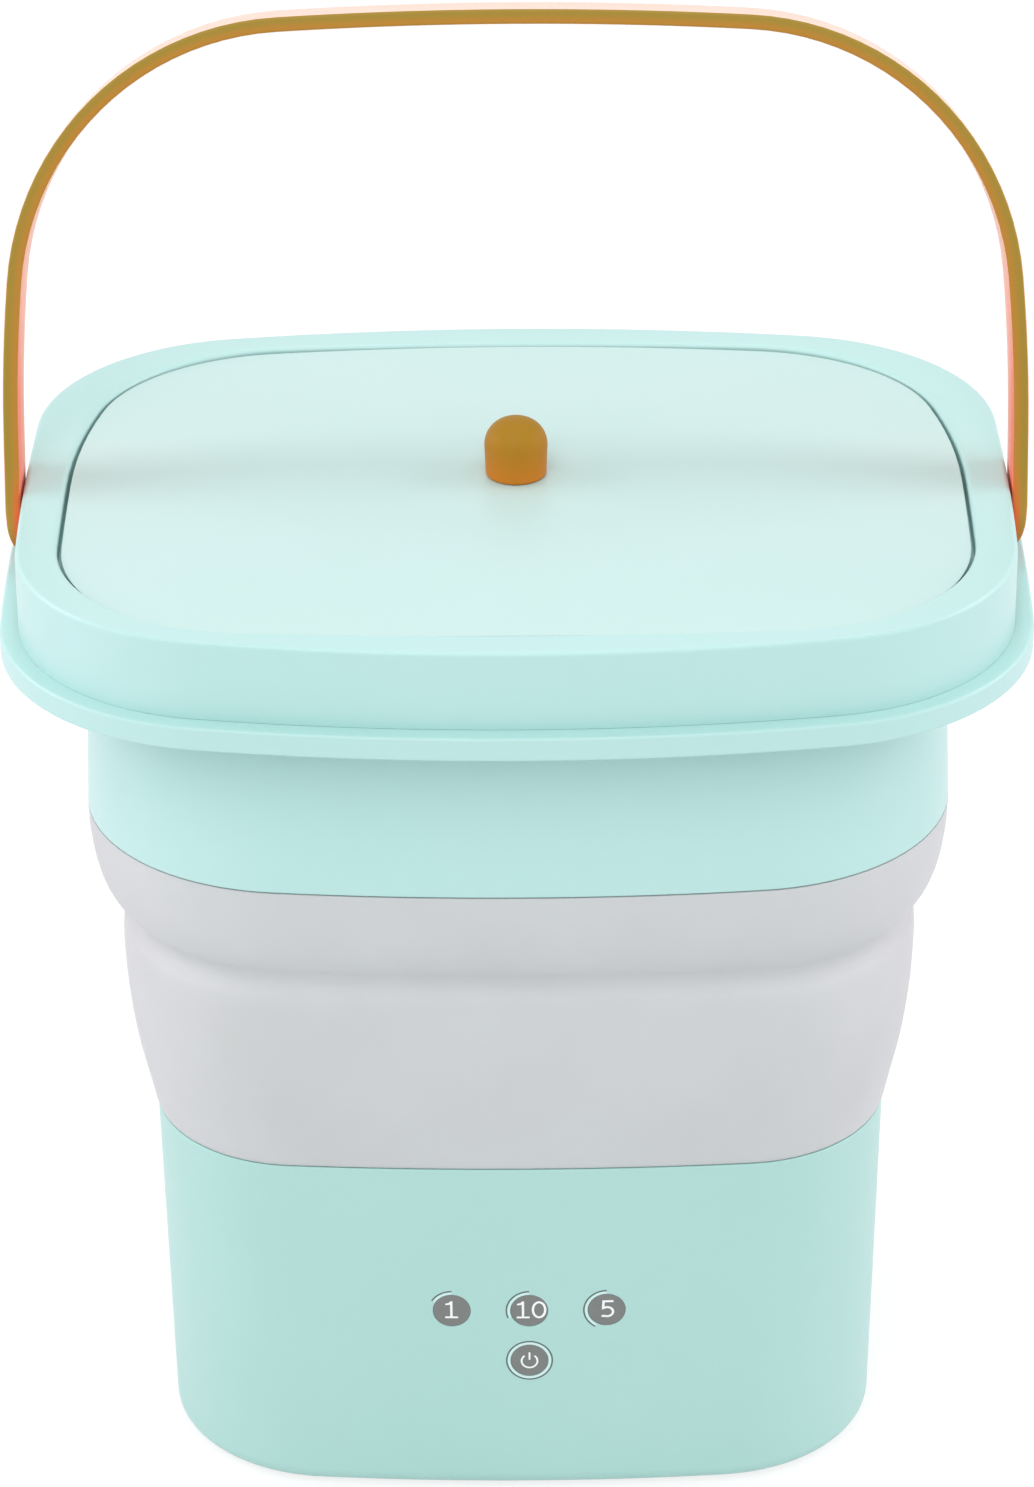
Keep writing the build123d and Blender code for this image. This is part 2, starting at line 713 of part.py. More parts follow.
with BuildPart() as touch_pads:
    for x, z, radius in key_spots:
        pad_front = housing_depth(abs(x) + pad_radius, z) - base_wall - pad_space
        along_y(x, z, -pad_front, -touch_face, pad_radius)
touch_pads.part.label = "touch_pads"
export_step(touch_pads.part, "parts/touch_pads.step")

with BuildPart() as board_screws:
    for x, y in board_spots:
        place = Location((x, y, board_top + small_head_height), (180, 0, 0))
        screw(place, board_screw_length, small_core, small_head, small_head_height)
    for x, z in touch_screws:
        place = Location((x, -touch_back + small_head_height, z), (90, 0, 0))
        screw(place, board_thick + touch_space / 2, small_core, small_head, small_head_height)
board_screws.part.label = "board_screws"
export_step(board_screws.part, "parts/board_screws.step")


# lead that leaves one plug along a direction and drops onto a plug of the control board
def lead(start, direction, row):
    end = (plug_x, row, plug_top + press_gap)
    with BuildPart() as wire:
        with BuildLine():
            Spline(start, end, tangents=[direction, (0, 0, -1)])
        with BuildSketch(Plane(origin=start, z_dir=direction)):
            Circle(lead_radius)
        sweep()
    return wire.part


jack_leads = lead((jack_x, jack_rear - press_gap, jack_height), (0, -1, 0), plug_rows[0])
jack_leads.label = "jack_leads"
export_step(jack_leads, "parts/jack_leads.step")

motor_leads = lead((-can_bore, 0, can_low + can_length / 2), (-1, 0, 0), plug_rows[1])
motor_leads.label = "motor_leads"
export_step(motor_leads, "parts/motor_leads.step")

touch_start = (key_shift + touch_plug_x, touch_plug_end + press_gap, touch_plug_height)
touch_leads = lead(touch_start, (0, 1, 0), plug_rows[2])
touch_leads.label = "touch_leads"
export_step(touch_leads, "parts/touch_leads.step")

# folding bellows between housing and tub: share of its height, share of the way
# from the housing outline to the tub outline
bellows_wall = 2.2
tail_length = 5.5
head_tail = 12.5
bellows_shape = [
    (0.0, -0.02),
    (0.013, 0.025),
    (0.056, 0.086),
    (0.12, 0.167),
    (0.19, 0.259),
    (0.259, 0.333),
    (0.329, 0.389),
    (0.398, 0.432),
    (0.463, 0.457),
    (0.537, 0.475),
    (0.58, 0.475),
    (0.607, 0.451),
    (0.628, 0.389),
    (0.65, 0.34),
    (0.671, 0.352),
    (0.693, 0.426),
    (0.714, 0.549),
    (0.741, 0.673),
    (0.773, 0.778),
    (0.816, 0.87),
    (0.869, 0.938),
    (0.938, 0.988),
    (1.0, 1.0),
]

band_wall = 2.5
band_taper = 2.0
opening_inset = 4.5
bellows_low = base_top + seam_gap
bellows_high = band_bottom - seam_gap
fold_height = bellows_high - bellows_low
tail_outer = shrink(base_plan, base_wall + tail_gap)
tail_inner = shrink(tail_outer, tail_thick)
opening_plan = shrink(tub_plan, opening_inset)
head_top = band_bottom + head_tail


# inside of the tub band at a height
def band_inside(height):
    return between(shrink(tub_plan, band_wall), opening_plan, (height - band_bottom) / (rim_top - band_bottom))


def bellows_loft(inset, low, high, mode=Mode.ADD):
    faces = []
    for share, spread in bellows_shape:
        height = min(max(bellows_low + share * fold_height, low), high)
        if not faces or height > faces[-1][0] + 0.1:
            faces.append((height, shrink(between(base_plan, tub_plan, spread), inset)))
    loft(sections=[outline_face(outline, height) for height, outline in faces], ruled=True, mode=mode)


with BuildPart() as bellows:
    bellows_loft(0, bellows_low, bellows_high)
    bellows_loft(bellows_wall, bellows_low + bellows_wall, bellows_high - bellows_wall, Mode.SUBTRACT)
    head_low = bellows_high - bellows_wall
    taper(shrink(band_inside(head_low), seam_gap), head_low, shrink(band_inside(head_top), seam_gap), head_top)
    prism(tail_outer, bellows_low - tail_length, bellows_low + bellows_wall)
    head_inset = seam_gap + tail_thick
    inside_low = shrink(band_inside(head_low), head_inset)
    taper(inside_low, head_low, shrink(band_inside(head_top), head_inset), head_top, Mode.SUBTRACT)
    prism(tail_inner, bellows_low - tail_length, bellows_low + bellows_wall, Mode.SUBTRACT)
bellows.part.label = "bellows"
export_step(bellows.part, "parts/bellows.step")

# tub rim with its band, moulded as one
rim_wall = 2.6
rim_plate = 2.7
rim_top_round = 1.2
rim_low_round = 0.8
side_screw_inset = 15.1
long_screw_inset = 17.7
frame_screw_share = 0.4
frame_screw_length = 10.0

plate_low = rim_top - rim_plate
half_width, half_depth = rim_plan[:2]
side_spots = four(half_width - side_screw_inset, half_depth * frame_screw_share)
long_spots = four(half_width * frame_screw_share, half_depth - long_screw_inset)
frame_spots = side_spots + long_spots

with BuildPart() as tub_rim:
    prism(rim_plan, rim_bottom, rim_top)
    fillet(tub_rim.faces().sort_by(Axis.Z)[-1].edges(), radius=rim_top_round)
    fillet(tub_rim.faces().sort_by(Axis.Z)[0].edges(), radius=rim_low_round)
    prism(shrink(rim_plan, rim_wall), rim_bottom, plate_low, Mode.SUBTRACT)
    taper(tub_plan, band_bottom, shrink(tub_plan, band_taper), plate_low + 0.5)
    taper(shrink(tub_plan, band_wall), band_bottom, opening_plan, rim_top, Mode.SUBTRACT)
    for x, y in frame_spots:
        pillar(x, y, plate_low, rim_top, screw_core + hole_gap, Mode.SUBTRACT)
tub_rim.part.label = "tub_rim"
export_step(tub_rim.part, "parts/tub_rim.step")

with BuildPart() as frame_screws:
    for x, y in frame_spots:
        place = Location((x, y, plate_low - screw_head_height))
        screw(place, frame_screw_length, screw_core, screw_head, screw_head_height)
frame_screws.part.label = "frame_screws"
export_step(frame_screws.part, "parts/frame_screws.step")

# top frame with the lid pocket and the handle pivots
frame_inset = 5.0
frame_wall = 2.8
frame_round = 1.5
deck_thick = 2.8
groove_chamfer = 0.4
pocket_gap = 1.2
pocket_wall = 2.2
pocket_chamfer = 0.6
lid_thick = 3.5
gasket_thick = 1.5
ledge_thick = 2.5
skirt_wall = 2.3
frame_boss = 3.5
pivot_rise = 11.0
pivot_block_width = 18.0
pivot_block_depth = 11.0
pin_radius = 3.0
pin_length = 8.0

frame_plan = shrink(rim_plan, frame_inset)
frame_low = rim_top + seat_gap
deck_low = frame_top - deck_thick
lid_low = frame_top - lid_thick
ledge_top = lid_low - gasket_thick - seam_gap
ledge_low = ledge_top - ledge_thick
pocket_plan = shrink(lid_plan, -pocket_gap)
skirt_plan = shrink(opening_plan, -skirt_wall)
pivot_height = rim_top + pivot_rise
pin_start = frame_plan[0] - pin_length

with BuildPart() as frame_hollow:
    prism(shrink(frame_plan, frame_wall), frame_low, deck_low)
    prism(skirt_plan, frame_low, ledge_low, Mode.SUBTRACT)
    prism(shrink(pocket_plan, -pocket_wall), ledge_low, deck_low, Mode.SUBTRACT)
    for x, y in frame_spots:
        pillar(x, y, frame_low, deck_low, frame_boss, Mode.SUBTRACT)
    for side in (-1, 1):
        block_x = side * (frame_plan[0] - pivot_block_depth / 2)
        block(block_x, 0, frame_low, pivot_block_depth, pivot_block_width, frame_height, Mode.SUBTRACT)

with BuildPart() as top_frame:
    prism(frame_plan, frame_low, frame_top)
    fillet(top_frame.faces().sort_by(Axis.Z)[-1].edges(), radius=frame_round)
    chamfer(top_frame.faces().sort_by(Axis.Z)[0].edges(), length=groove_chamfer)
    prism(pocket_plan, ledge_top, frame_top, Mode.SUBTRACT)
    chamfer(top_frame.faces().sort_by(Axis.Z)[-1].inner_wires().edges(), length=pocket_chamfer)
    prism(opening_plan, frame_low, frame_top, Mode.SUBTRACT)
    add(frame_hollow.part, mode=Mode.SUBTRACT)
    for x, y in frame_spots:
        tip = plate_low + frame_screw_length + 1
        pillar(x, y, frame_low, tip, screw_core + run_gap, Mode.SUBTRACT)
    for start, end in ((pin_start, body_width), (-body_width, -pin_start)):
        along_x(0, pivot_height, start, end, pin_radius + press_gap, Mode.SUBTRACT)
top_frame.part.label = "top_frame"
export_step(top_frame.part, "parts/top_frame.step")

# carrying handle, a flat strap on two pins, leaning back
strap_thick = 4.1
strap_width = 19.0
strap_gap = 0.55
leg_rise = 25.0
arch_rise = 112.7
arch_front_radius = 1110.0
arch_side_radius = 444.0
arch_corner_radius = 77.2
strap_lean = 15.0
pin_bore_depth = 2.8
pin_reach = 2.5

strap_inner = frame_plan[0] + strap_gap
strap_outer = strap_inner + strap_thick
arch = (strap_outer, arch_rise, arch_front_radius, arch_side_radius, arch_corner_radius)
lean_sin = sin(radians(strap_lean))
lean_cos = cos(radians(strap_lean))
strap_plane = Plane(origin=(0, 0, pivot_height), x_dir=(1, 0, 0), z_dir=(0, -lean_cos, lean_sin))
side_plane = Plane(origin=(0, 0, pivot_height), x_dir=(0, lean_cos, -lean_sin), z_dir=(1, 0, 0))

with BuildPart() as handle_strap:
    with BuildSketch(strap_plane):
        with Locations((0, leg_rise)):
            add(outline_face(arch, 0))
            add(outline_face(shrink(arch, strap_thick), 0), mode=Mode.SUBTRACT)
        with Locations((0, leg_rise - arch_rise)):
            Rectangle(3 * strap_outer, 2 * arch_rise, mode=Mode.SUBTRACT)
        leg_length = leg_rise + strap_width / 2
        with Locations(
            (strap_outer - strap_thick / 2, leg_rise - leg_length / 2),
            (strap_thick / 2 - strap_outer, leg_rise - leg_length / 2),
        ):
            Rectangle(strap_thick, leg_length)
    extrude(amount=strap_width / 2, both=True)
    with BuildSketch(side_plane):
        Circle(strap_width / 2)
        with Locations((0, arch_rise)):
            Rectangle(strap_width, 2 * arch_rise)
    extrude(amount=body_width, both=True, mode=Mode.INTERSECT)
    for start, end in ((0, strap_inner + pin_bore_depth), (-strap_inner - pin_bore_depth, 0)):
        along_x(0, pivot_height, start, end, pin_radius + run_gap, Mode.SUBTRACT)
handle_strap.part.label = "handle_strap"
export_step(handle_strap.part, "parts/handle_strap.step")

with BuildPart() as pivot_pins:
    for start, end in (
        (pin_start + press_gap, strap_inner + pin_reach),
        (-strap_inner - pin_reach, -pin_start - press_gap),
    ):
        along_x(0, pivot_height, start, end, pin_radius)
pivot_pins.part.label = "pivot_pins"
export_step(pivot_pins.part, "parts/pivot_pins.step")

# lid panel with its skirt, gasket, knob and screw
crown_rise = 5.6
crown_radius = 2000.0
lid_skirt_gap = 1.3
lid_skirt_wall = 1.8
lid_skirt_drop = 8.0
gasket_inner = 2.0
gasket_width = 3.0
knob_radius = 8.5
knob_low_radius = 8.2
knob_low_edge = 0.8
knob_straight = 9.4
knob_dome = 7.8
knob_core = 2.0
knob_head = 4.0
knob_head_height = 2.2
knob_screw_length = 12.0

crown_top = lid_low + crown_rise
knob_low = crown_top + press_gap
lid_skirt_outer = shrink(opening_plan, lid_skirt_gap)
knob_tip = lid_low + knob_screw_length
diagonal = sqrt(0.5)

with BuildPart() as lid_panel:
    prism(lid_plan, lid_low, lid_low + 2 * crown_rise)
    with Locations((0, 0, crown_top - crown_radius)):
        Sphere(crown_radius, mode=Mode.INTERSECT)
    prism(lid_skirt_outer, lid_low - lid_skirt_drop, lid_low)
    prism(shrink(lid_skirt_outer, lid_skirt_wall), lid_low - lid_skirt_drop, lid_low, Mode.SUBTRACT)
    pillar(0, 0, lid_low, crown_top, knob_core + hole_gap, Mode.SUBTRACT)
lid_panel.part.label = "lid_panel"
export_step(lid_panel.part, "parts/lid_panel.step")

with BuildPart() as lid_gasket:
    gasket_plan = shrink(opening_plan, -gasket_inner)
    prism(shrink(gasket_plan, -gasket_width), lid_low - gasket_thick, lid_low)
    prism(gasket_plan, lid_low - gasket_thick, lid_low, Mode.SUBTRACT)
lid_gasket.part.label = "lid_gasket"
export_step(lid_gasket.part, "parts/lid_gasket.step")

with BuildPart() as lid_knob:
    with BuildSketch(Plane.XZ):
        with BuildLine():
            Polyline(
                (0, knob_low + knob_straight + knob_dome),
                (0, knob_low),
                (knob_low_radius - knob_low_edge, knob_low),
                (knob_low_radius, knob_low + knob_low_edge),
                (knob_radius, knob_low + knob_straight),
            )
            Spline(
                (knob_radius, knob_low + knob_straight),
                (knob_radius * diagonal, knob_low + knob_straight + knob_dome * diagonal),
                (0, knob_low + knob_straight + knob_dome),
                tangents=[(0, 1), (-1, 0)],
            )
        make_face()
    revolve(axis=Axis.Z)
    pillar(0, 0, knob_low, knob_tip + 0.5, knob_core + press_gap, Mode.SUBTRACT)
lid_knob.part.label = "lid_knob"
export_step(lid_knob.part, "parts/lid_knob.step")

with BuildPart() as knob_screw:
    place = Location((0, 0, lid_low - knob_head_height))
    screw(place, knob_screw_length, knob_core, knob_head, knob_head_height)
knob_screw.part.label = "knob_screw"
export_step(knob_screw.part, "parts/knob_screw.step")
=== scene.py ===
import json
from math import acos, atan2, cos, hypot, pi, radians, sin, sqrt, tan

import bmesh
import bpy
from mathutils import Matrix, Vector
from mathutils.geometry import intersect_point_line


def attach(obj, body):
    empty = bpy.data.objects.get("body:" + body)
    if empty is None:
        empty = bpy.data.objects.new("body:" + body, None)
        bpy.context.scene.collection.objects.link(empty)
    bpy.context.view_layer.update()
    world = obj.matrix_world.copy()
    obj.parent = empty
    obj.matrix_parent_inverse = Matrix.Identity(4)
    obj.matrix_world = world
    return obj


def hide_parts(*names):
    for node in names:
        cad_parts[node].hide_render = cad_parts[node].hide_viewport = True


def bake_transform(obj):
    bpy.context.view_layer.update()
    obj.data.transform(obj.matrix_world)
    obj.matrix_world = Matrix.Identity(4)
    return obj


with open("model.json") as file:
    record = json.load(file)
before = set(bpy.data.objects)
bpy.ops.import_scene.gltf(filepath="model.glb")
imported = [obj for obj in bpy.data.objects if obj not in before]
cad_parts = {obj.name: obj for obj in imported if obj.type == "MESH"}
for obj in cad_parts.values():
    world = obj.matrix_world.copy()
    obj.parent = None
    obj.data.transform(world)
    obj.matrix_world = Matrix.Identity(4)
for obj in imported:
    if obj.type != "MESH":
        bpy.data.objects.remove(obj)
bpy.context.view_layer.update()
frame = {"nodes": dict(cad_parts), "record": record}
nodes = frame["nodes"]
print("frame loaded with", len(nodes), "nodes")

mm = 0.001  # every size below is in millimetres, the scene is in metres
scene = bpy.context.scene


def bothHalves(halfWidth, *half):
    return (halfWidth, *half, *half)


# plan outlines of eight tangent arcs: half width, and for the front half and then for the back half
# half depth, front radius, side radius, corner radius
plans = {
    "rim": bothHalves(137.5, 108.0, 500.0, 1300.0, 64.0),
    "tub": bothHalves(117.5, 88.0, 610.0, 460.0, 58.0),
    "base": bothHalves(101.3, 71.8, 800.0, 850.0, 41.0),
    "sole": bothHalves(99.5, 70.0, 650.0, 600.0, 46.0),
    "lid": (120.0, 91.4, 1000.0, 3000.0, 50.8, 90.4, 1000.0, 215.0, 50.3),
}

# steps of each quarter: along the side, round the corner, along the front
ringSteps = {"side": 6, "corner": 22, "front": 9}

# radii of the edges that hardly show
fineEdge, smallEdge, midEdge, largeEdge, deepEdge = 0.3, 0.4, 0.5, 0.6, 0.8


def setIn(outline, inset):
    return tuple(value - inset for value in outline)


def mixed(first, second, share):
    return tuple(a + (b - a) * share for a, b in zip(first, second))


# points round the back half of an outline, from right to left
def halfRing(halfWidth, halfDepth, frontRadius, sideRadius, cornerRadius):
    frontY = halfDepth - frontRadius
    sideX = halfWidth - sideRadius
    frontReach = frontRadius - cornerRadius
    sideReach = sideRadius - cornerRadius
    apart = hypot(sideX, frontY)
    along = (frontReach**2 - sideReach**2 + apart**2) / (2 * apart)
    across = sqrt(max(frontReach**2 - along**2, 0.0))
    cornerX = (sideX * along - frontY * across) / apart
    cornerY = frontY - (sideX * across + frontY * along) / apart
    sideTurn = atan2(cornerY, cornerX - sideX)
    frontTurn = atan2(cornerY - frontY, cornerX)
    arcs = [
        (sideX, 0.0, sideRadius, 0.0, sideTurn, ringSteps["side"]),
        (cornerX, cornerY, cornerRadius, sideTurn, frontTurn, ringSteps["corner"]),
        (0.0, frontY, frontRadius, frontTurn, pi / 2, ringSteps["front"]),
    ]
    quarter = []
    for centreX, centreY, radius, start, end, steps in arcs:
        for step in range(steps):
            turn = start + (end - start) * step / steps
            quarter.append((centreX + radius * cos(turn), centreY + radius * sin(turn)))
    left = [(-x, y) for x, y in reversed(quarter[1:])]
    return quarter + [(0.0, halfDepth)] + left


# points all round an outline; points with the same number lie on one normal for every inset
def ringPoints(outline):
    front = halfRing(*outline[:5])
    return halfRing(outline[0], *outline[5:]) + [(-x, -y) for x, y in front]


# one corner of a section: its outline, height, edge radius, and how far it follows the lid's crown
def corner(outline, height, radius=0.0, crown=0.0):
    return (*outline, height, crown), radius


def towards(spot, before, shareBefore, after, shareAfter):
    return tuple(
        here + (first - here) * shareBefore + (second - here) * shareAfter
        for here, first, second in zip(spot, before, after)
    )


# rows of a closed section with its corners rounded; a row beside each rounding keeps flat faces flat
def roundedRows(corners, steps=5, hold=0.3):
    rows = []
    for number, (spot, radius) in enumerate(corners):
        if radius == 0:
            rows.append(spot)
            continue
        before = corners[number - 1][0]
        after = corners[(number + 1) % len(corners)][0]
        first = Vector((before[0] - spot[0], before[-2] - spot[-2]))
        second = Vector((after[0] - spot[0], after[-2] - spot[-2]))
        lengths = (first.length, second.length)
        halfAngle = acos(max(-1.0, min(1.0, first.normalized().dot(second.normalized())))) / 2
        reach = radius / tan(halfAngle)
        centre = radius / sin(halfAngle) / (2 * cos(halfAngle))
        sweep = pi - 2 * halfAngle
        pairs = [(reach + hold, 0.0)] if reach + 2 * hold < lengths[0] else []
        for step in range(steps + 1):
            nearFirst = sin((1 - step / steps) * sweep) / sin(sweep)
            nearSecond = sin(step / steps * sweep) / sin(sweep)
            middle = centre * (1 - nearFirst - nearSecond)
            pairs.append((middle + nearFirst * reach, middle + nearSecond * reach))
        if reach + 2 * hold < lengths[1]:
            pairs.append((0.0, reach + hold))
        for alongFirst, alongSecond in pairs:
            rows.append(towards(spot, before, alongFirst / lengths[0], after, alongSecond / lengths[1]))
    return rows


def newPiece(name, vertices, faces):
    mesh = bpy.data.meshes.new(name)
    mesh.from_pydata(vertices, [], faces)
    mesh.validate()
    piece = bpy.data.objects.new(name, mesh)
    scene.collection.objects.link(piece)
    return piece


# faces point outwards, small steps are welded, and edges sharper than the given angle stay crisp
def cleanMesh(piece, sharp=40.0, weld=0.004):
    work = bmesh.new()
    work.from_mesh(piece.data)
    bmesh.ops.remove_doubles(work, verts=work.verts, dist=weld * mm)
    bmesh.ops.recalc_face_normals(work, faces=work.faces)
    for face in work.faces:
        face.smooth = True
    work.to_mesh(piece.data)
    work.free()
    piece.data.set_sharp_from_angle(angle=radians(sharp))
    return piece


# faces between rings of points: the last ring meets the first, or else both ends are capped;
# a ring that isn't taken all round is a plain row of points
def skinFaces(rings, count, meet, around=True):
    faces = []
    for ring in range(rings if meet else rings - 1):
        here, there = ring * count, (ring + 1) % rings * count
        for step in range(count if around else count - 1):
            after = (step + 1) % count
            faces.append((here + step, here + after, there + after, there + step))
    if not meet:
        faces.append(tuple(range(count)))
        faces.append(tuple(range((rings - 1) * count, rings * count)))
    return faces


# how far a crowned face has fallen at a place, bent by one radius across and by others to front and back
def crownDrop(x, y, radii):
    across, front, back = radii
    return -(x**2) / (2 * across) - y**2 / (2 * (front if y < 0 else back))


# skin through the rows of a section, carried all round their outlines
def sweptPiece(name, rows, crownRadii=(2000.0, 2000.0, 2000.0)):
    vertices = []
    for row in rows:
        for x, y in ringPoints(row[:-2]):
            height = row[-2] + row[-1] * crownDrop(x, y, crownRadii)
            vertices.append((x * mm, y * mm, height * mm))
    faces = skinFaces(len(rows), len(vertices) // len(rows), meet=True)
    return cleanMesh(newPiece(name, vertices, faces))


# skin of turned pieces, from a line of (radius, height) about the Z axis
def turnedPiece(name, line, steps=72):
    vertices = []
    for radius, height in line:
        for step in range(steps):
            turn = 2 * pi * step / steps
            vertices.append((radius * cos(turn) * mm, radius * sin(turn) * mm, height * mm))
    return cleanMesh(newPiece(name, vertices, skinFaces(len(line), steps, meet=False)))


# takes bars out of a piece for good
def cutOut(piece, cutters):
    for cutter in cutters:
        modifier = piece.modifiers.new("cut", "BOOLEAN")
        modifier.operation = "DIFFERENCE"
        modifier.solver = "EXACT"
        modifier.object = cutter
    shown = piece.evaluated_get(bpy.context.evaluated_depsgraph_get())
    mesh = bpy.data.meshes.new_from_object(shown)
    piece.modifiers.clear()
    old = piece.data
    piece.data = mesh
    mesh.name = old.name
    bpy.data.meshes.remove(old)
    for cutter in cutters:
        bpy.data.objects.remove(cutter)
    return cleanMesh(piece, sharp=30.0)


# round bar between two points, to cut with
def cuttingBar(start, end, radius, steps=64):
    start, end = Vector(start), Vector(end)
    turn = (end - start).to_track_quat("Z", "Y")
    vertices = []
    for spot in (start, end):
        for step in range(steps):
            angle = 2 * pi * step / steps
            vertices.append((spot + turn @ Vector((radius * cos(angle), radius * sin(angle), 0))) * mm)
    faces = [tuple(range(steps)), tuple(range(2 * steps - 1, steps - 1, -1))]
    for step in range(steps):
        after = (step + 1) % steps
        faces.append((step, after, steps + after, steps + step))
    return cleanMesh(newPiece("bar", vertices, faces))


# bars across both sides of a piece at a height, from near the middle outwards
def sideBars(near, far, height, radius):
    return [cuttingBar((side * near, 0, height), (side * far, 0, height), radius, 40) for side in (-1, 1)]


def splineAt(t, a, b, c, d):
    return 0.5 * (2 * b + (c - a) * t + (2 * a - 5 * b + 4 * c - d) * t**2 + (3 * b - a - 3 * c + d) * t**3)


# even curve through some points
def smoothLine(points, steps):
    line = []
    for number in range(len(points) - 1):
        around = [points[max(number - 1, 0)], points[number], points[number + 1]]
        around.append(points[min(number + 2, len(points) - 1)])
        for step in range(steps):
            line.append(tuple(splineAt(step / steps, *values) for values in zip(*around)))
    line.append(tuple(points[-1]))
    return line


# a colour as it is seen, from 0 to 255, for the shader
def tone(red, green, blue):
    def linear(value):
        value /= 255
        return value / 12.92 if value <= 0.04045 else ((value + 0.055) / 1.055) ** 2.4

    return (linear(red), linear(green), linear(blue), 1.0)


# kind of a group's socket from the count of numbers in its value
socketKinds = {1: "NodeSocketFloat", 3: "NodeSocketVector", 4: "NodeSocketColor"}
plainGrey = (0.8, 0.8, 0.8, 1.0)  # stands in a group's colour input until a material sets it
white = (1.0, 1.0, 1.0, 1.0)


# a node group with named inputs and outputs, what its inputs give, and what its outputs take
def startGroup(name, inputs, outputs):
    group = bpy.data.node_groups.new(name, "ShaderNodeTree")
    for label, value in inputs.items():
        kind = socketKinds[len(value) if isinstance(value, tuple) else 1]
        socket = group.interface.new_socket(label, in_out="INPUT", socket_type=kind)
        socket.default_value = value
    for label in outputs:
        kind = socketKinds[4 if label == "Color" else 1]
        group.interface.new_socket(label, in_out="OUTPUT", socket_type=kind)
    given = group.nodes.new("NodeGroupInput").outputs
    return group, given, group.nodes.new("NodeGroupOutput").inputs


# gives an input its value, or links it where the value is another node's output
def feed(tree, socket, value):
    if isinstance(value, bpy.types.NodeSocket):
        tree.links.new(value, socket)
    else:
        socket.default_value = value


# a node with its settings and inputs; i0, i1 and so on are inputs by number
def addNode(tree, kind, settings=None, **inputs):
    node = tree.nodes.new(kind)
    for name, value in (settings or {}).items():
        setattr(node, name, value)
    for label, value in inputs.items():
        byNumber = label[0] == "i" and label[1:].isdigit()
        feed(tree, node.inputs[int(label[1:]) if byNumber else label], value)
    return node


def objectPlace(tree):
    return addNode(tree, "ShaderNodeTexCoord").outputs["Object"]


def noiseAt(tree, scale, detail, roughness=0.5, place=None):
    if place is None:
        place = objectPlace(tree)
    noise = addNode(tree, "ShaderNodeTexNoise", Vector=place, Scale=scale, Detail=detail, Roughness=roughness)
    return noise.outputs["Fac"]


def mathOf(tree, operation, first, second):
    return addNode(tree, "ShaderNodeMath", {"operation": operation}, i0=first, i1=second).outputs[0]


# a value between a low and a high, carried over to a range of its own
def spreadOf(tree, value, low, high, newLow=0.0, newHigh=1.0, kind="LINEAR"):
    settings = {"interpolation_type": kind}
    spread = addNode(tree, "ShaderNodeMapRange", settings, i0=value, i1=low, i2=high, i3=newLow, i4=newHigh)
    return spread.outputs[0]


def blendOf(tree, share, first, second):
    mix = addNode(tree, "ShaderNodeMix", {"data_type": "RGBA"}, i0=share, i6=first, i7=second)
    return mix.outputs[2]


cloudReach = (0.3, 0.7)  # most of a noise lies between these


# slow clouds between a colour and its companion
def makeToneDrift():
    inputs = {"Color": plainGrey, "Companion": plainGrey, "Scale": 14.0, "Amount": 1.0}
    group, given, result = startGroup("toneDrift", inputs, ["Color"])
    clouds = spreadOf(group, noiseAt(group, given["Scale"], 3.0), *cloudReach)
    share = mathOf(group, "MULTIPLY", clouds, given["Amount"])
    group.links.new(blendOf(group, share, given["Color"], given["Companion"]), result["Color"])
    return group


# moulded grain: fine pits over a slow ripple
def makeMouldedGrain():
    inputs = {"Grain Scale": 2600.0, "Ripple Scale": 30.0, "Ripple": 0.3}
    group, given, result = startGroup("mouldedGrain", inputs, ["Height"])
    fine = noiseAt(group, given["Grain Scale"], 2.0)
    slow = mathOf(group, "MULTIPLY", noiseAt(group, given["Ripple Scale"], 1.0), given["Ripple"])
    group.links.new(mathOf(group, "ADD", fine, slow), result["Height"])
    return group


# gloss that wanders a little between two roughness values
def makeGlossDrift():
    group, given, result = startGroup("glossDrift", {"Low": 0.25, "High": 0.35, "Scale": 40.0}, ["Roughness"])
    clouds = noiseAt(group, given["Scale"], 4.0, 0.6)
    group.links.new(spreadOf(group, clouds, *cloudReach, given["Low"], given["High"]), result["Roughness"])
    return group


# fine parallel lines of a drawn or turned metal, stretched along one axis
def makeDrawnLines():
    inputs = {"Stretch": (60.0, 2400.0, 2400.0), "Light": plainGrey, "Dark": plainGrey}
    group, given, result = startGroup("drawnLines", inputs, ["Color", "Height"])
    settings = {"operation": "MULTIPLY"}
    stretched = addNode(group, "ShaderNodeVectorMath", settings, i0=objectPlace(group), i1=given["Stretch"])
    lines = noiseAt(group, 1.0, 3.0, 0.6, stretched.outputs[0])
    group.links.new(blendOf(group, lines, given["Dark"], given["Light"]), result["Color"])
    group.links.new(lines, result["Height"])
    return group


# one colour at the foot of a piece turning into another at its top
def makeHeightTone():
    inputs = {"Foot Color": plainGrey, "Top Color": plainGrey, "Foot": 0.0, "Top": 0.1}
    group, given, result = startGroup("heightTone", inputs, ["Color"])
    parts = addNode(group, "ShaderNodeSeparateXYZ", Vector=objectPlace(group))
    share = spreadOf(group, parts.outputs["Z"], given["Foot"], given["Top"])
    group.links.new(blendOf(group, share, given["Foot Color"], given["Top Color"]), result["Color"])
    return group


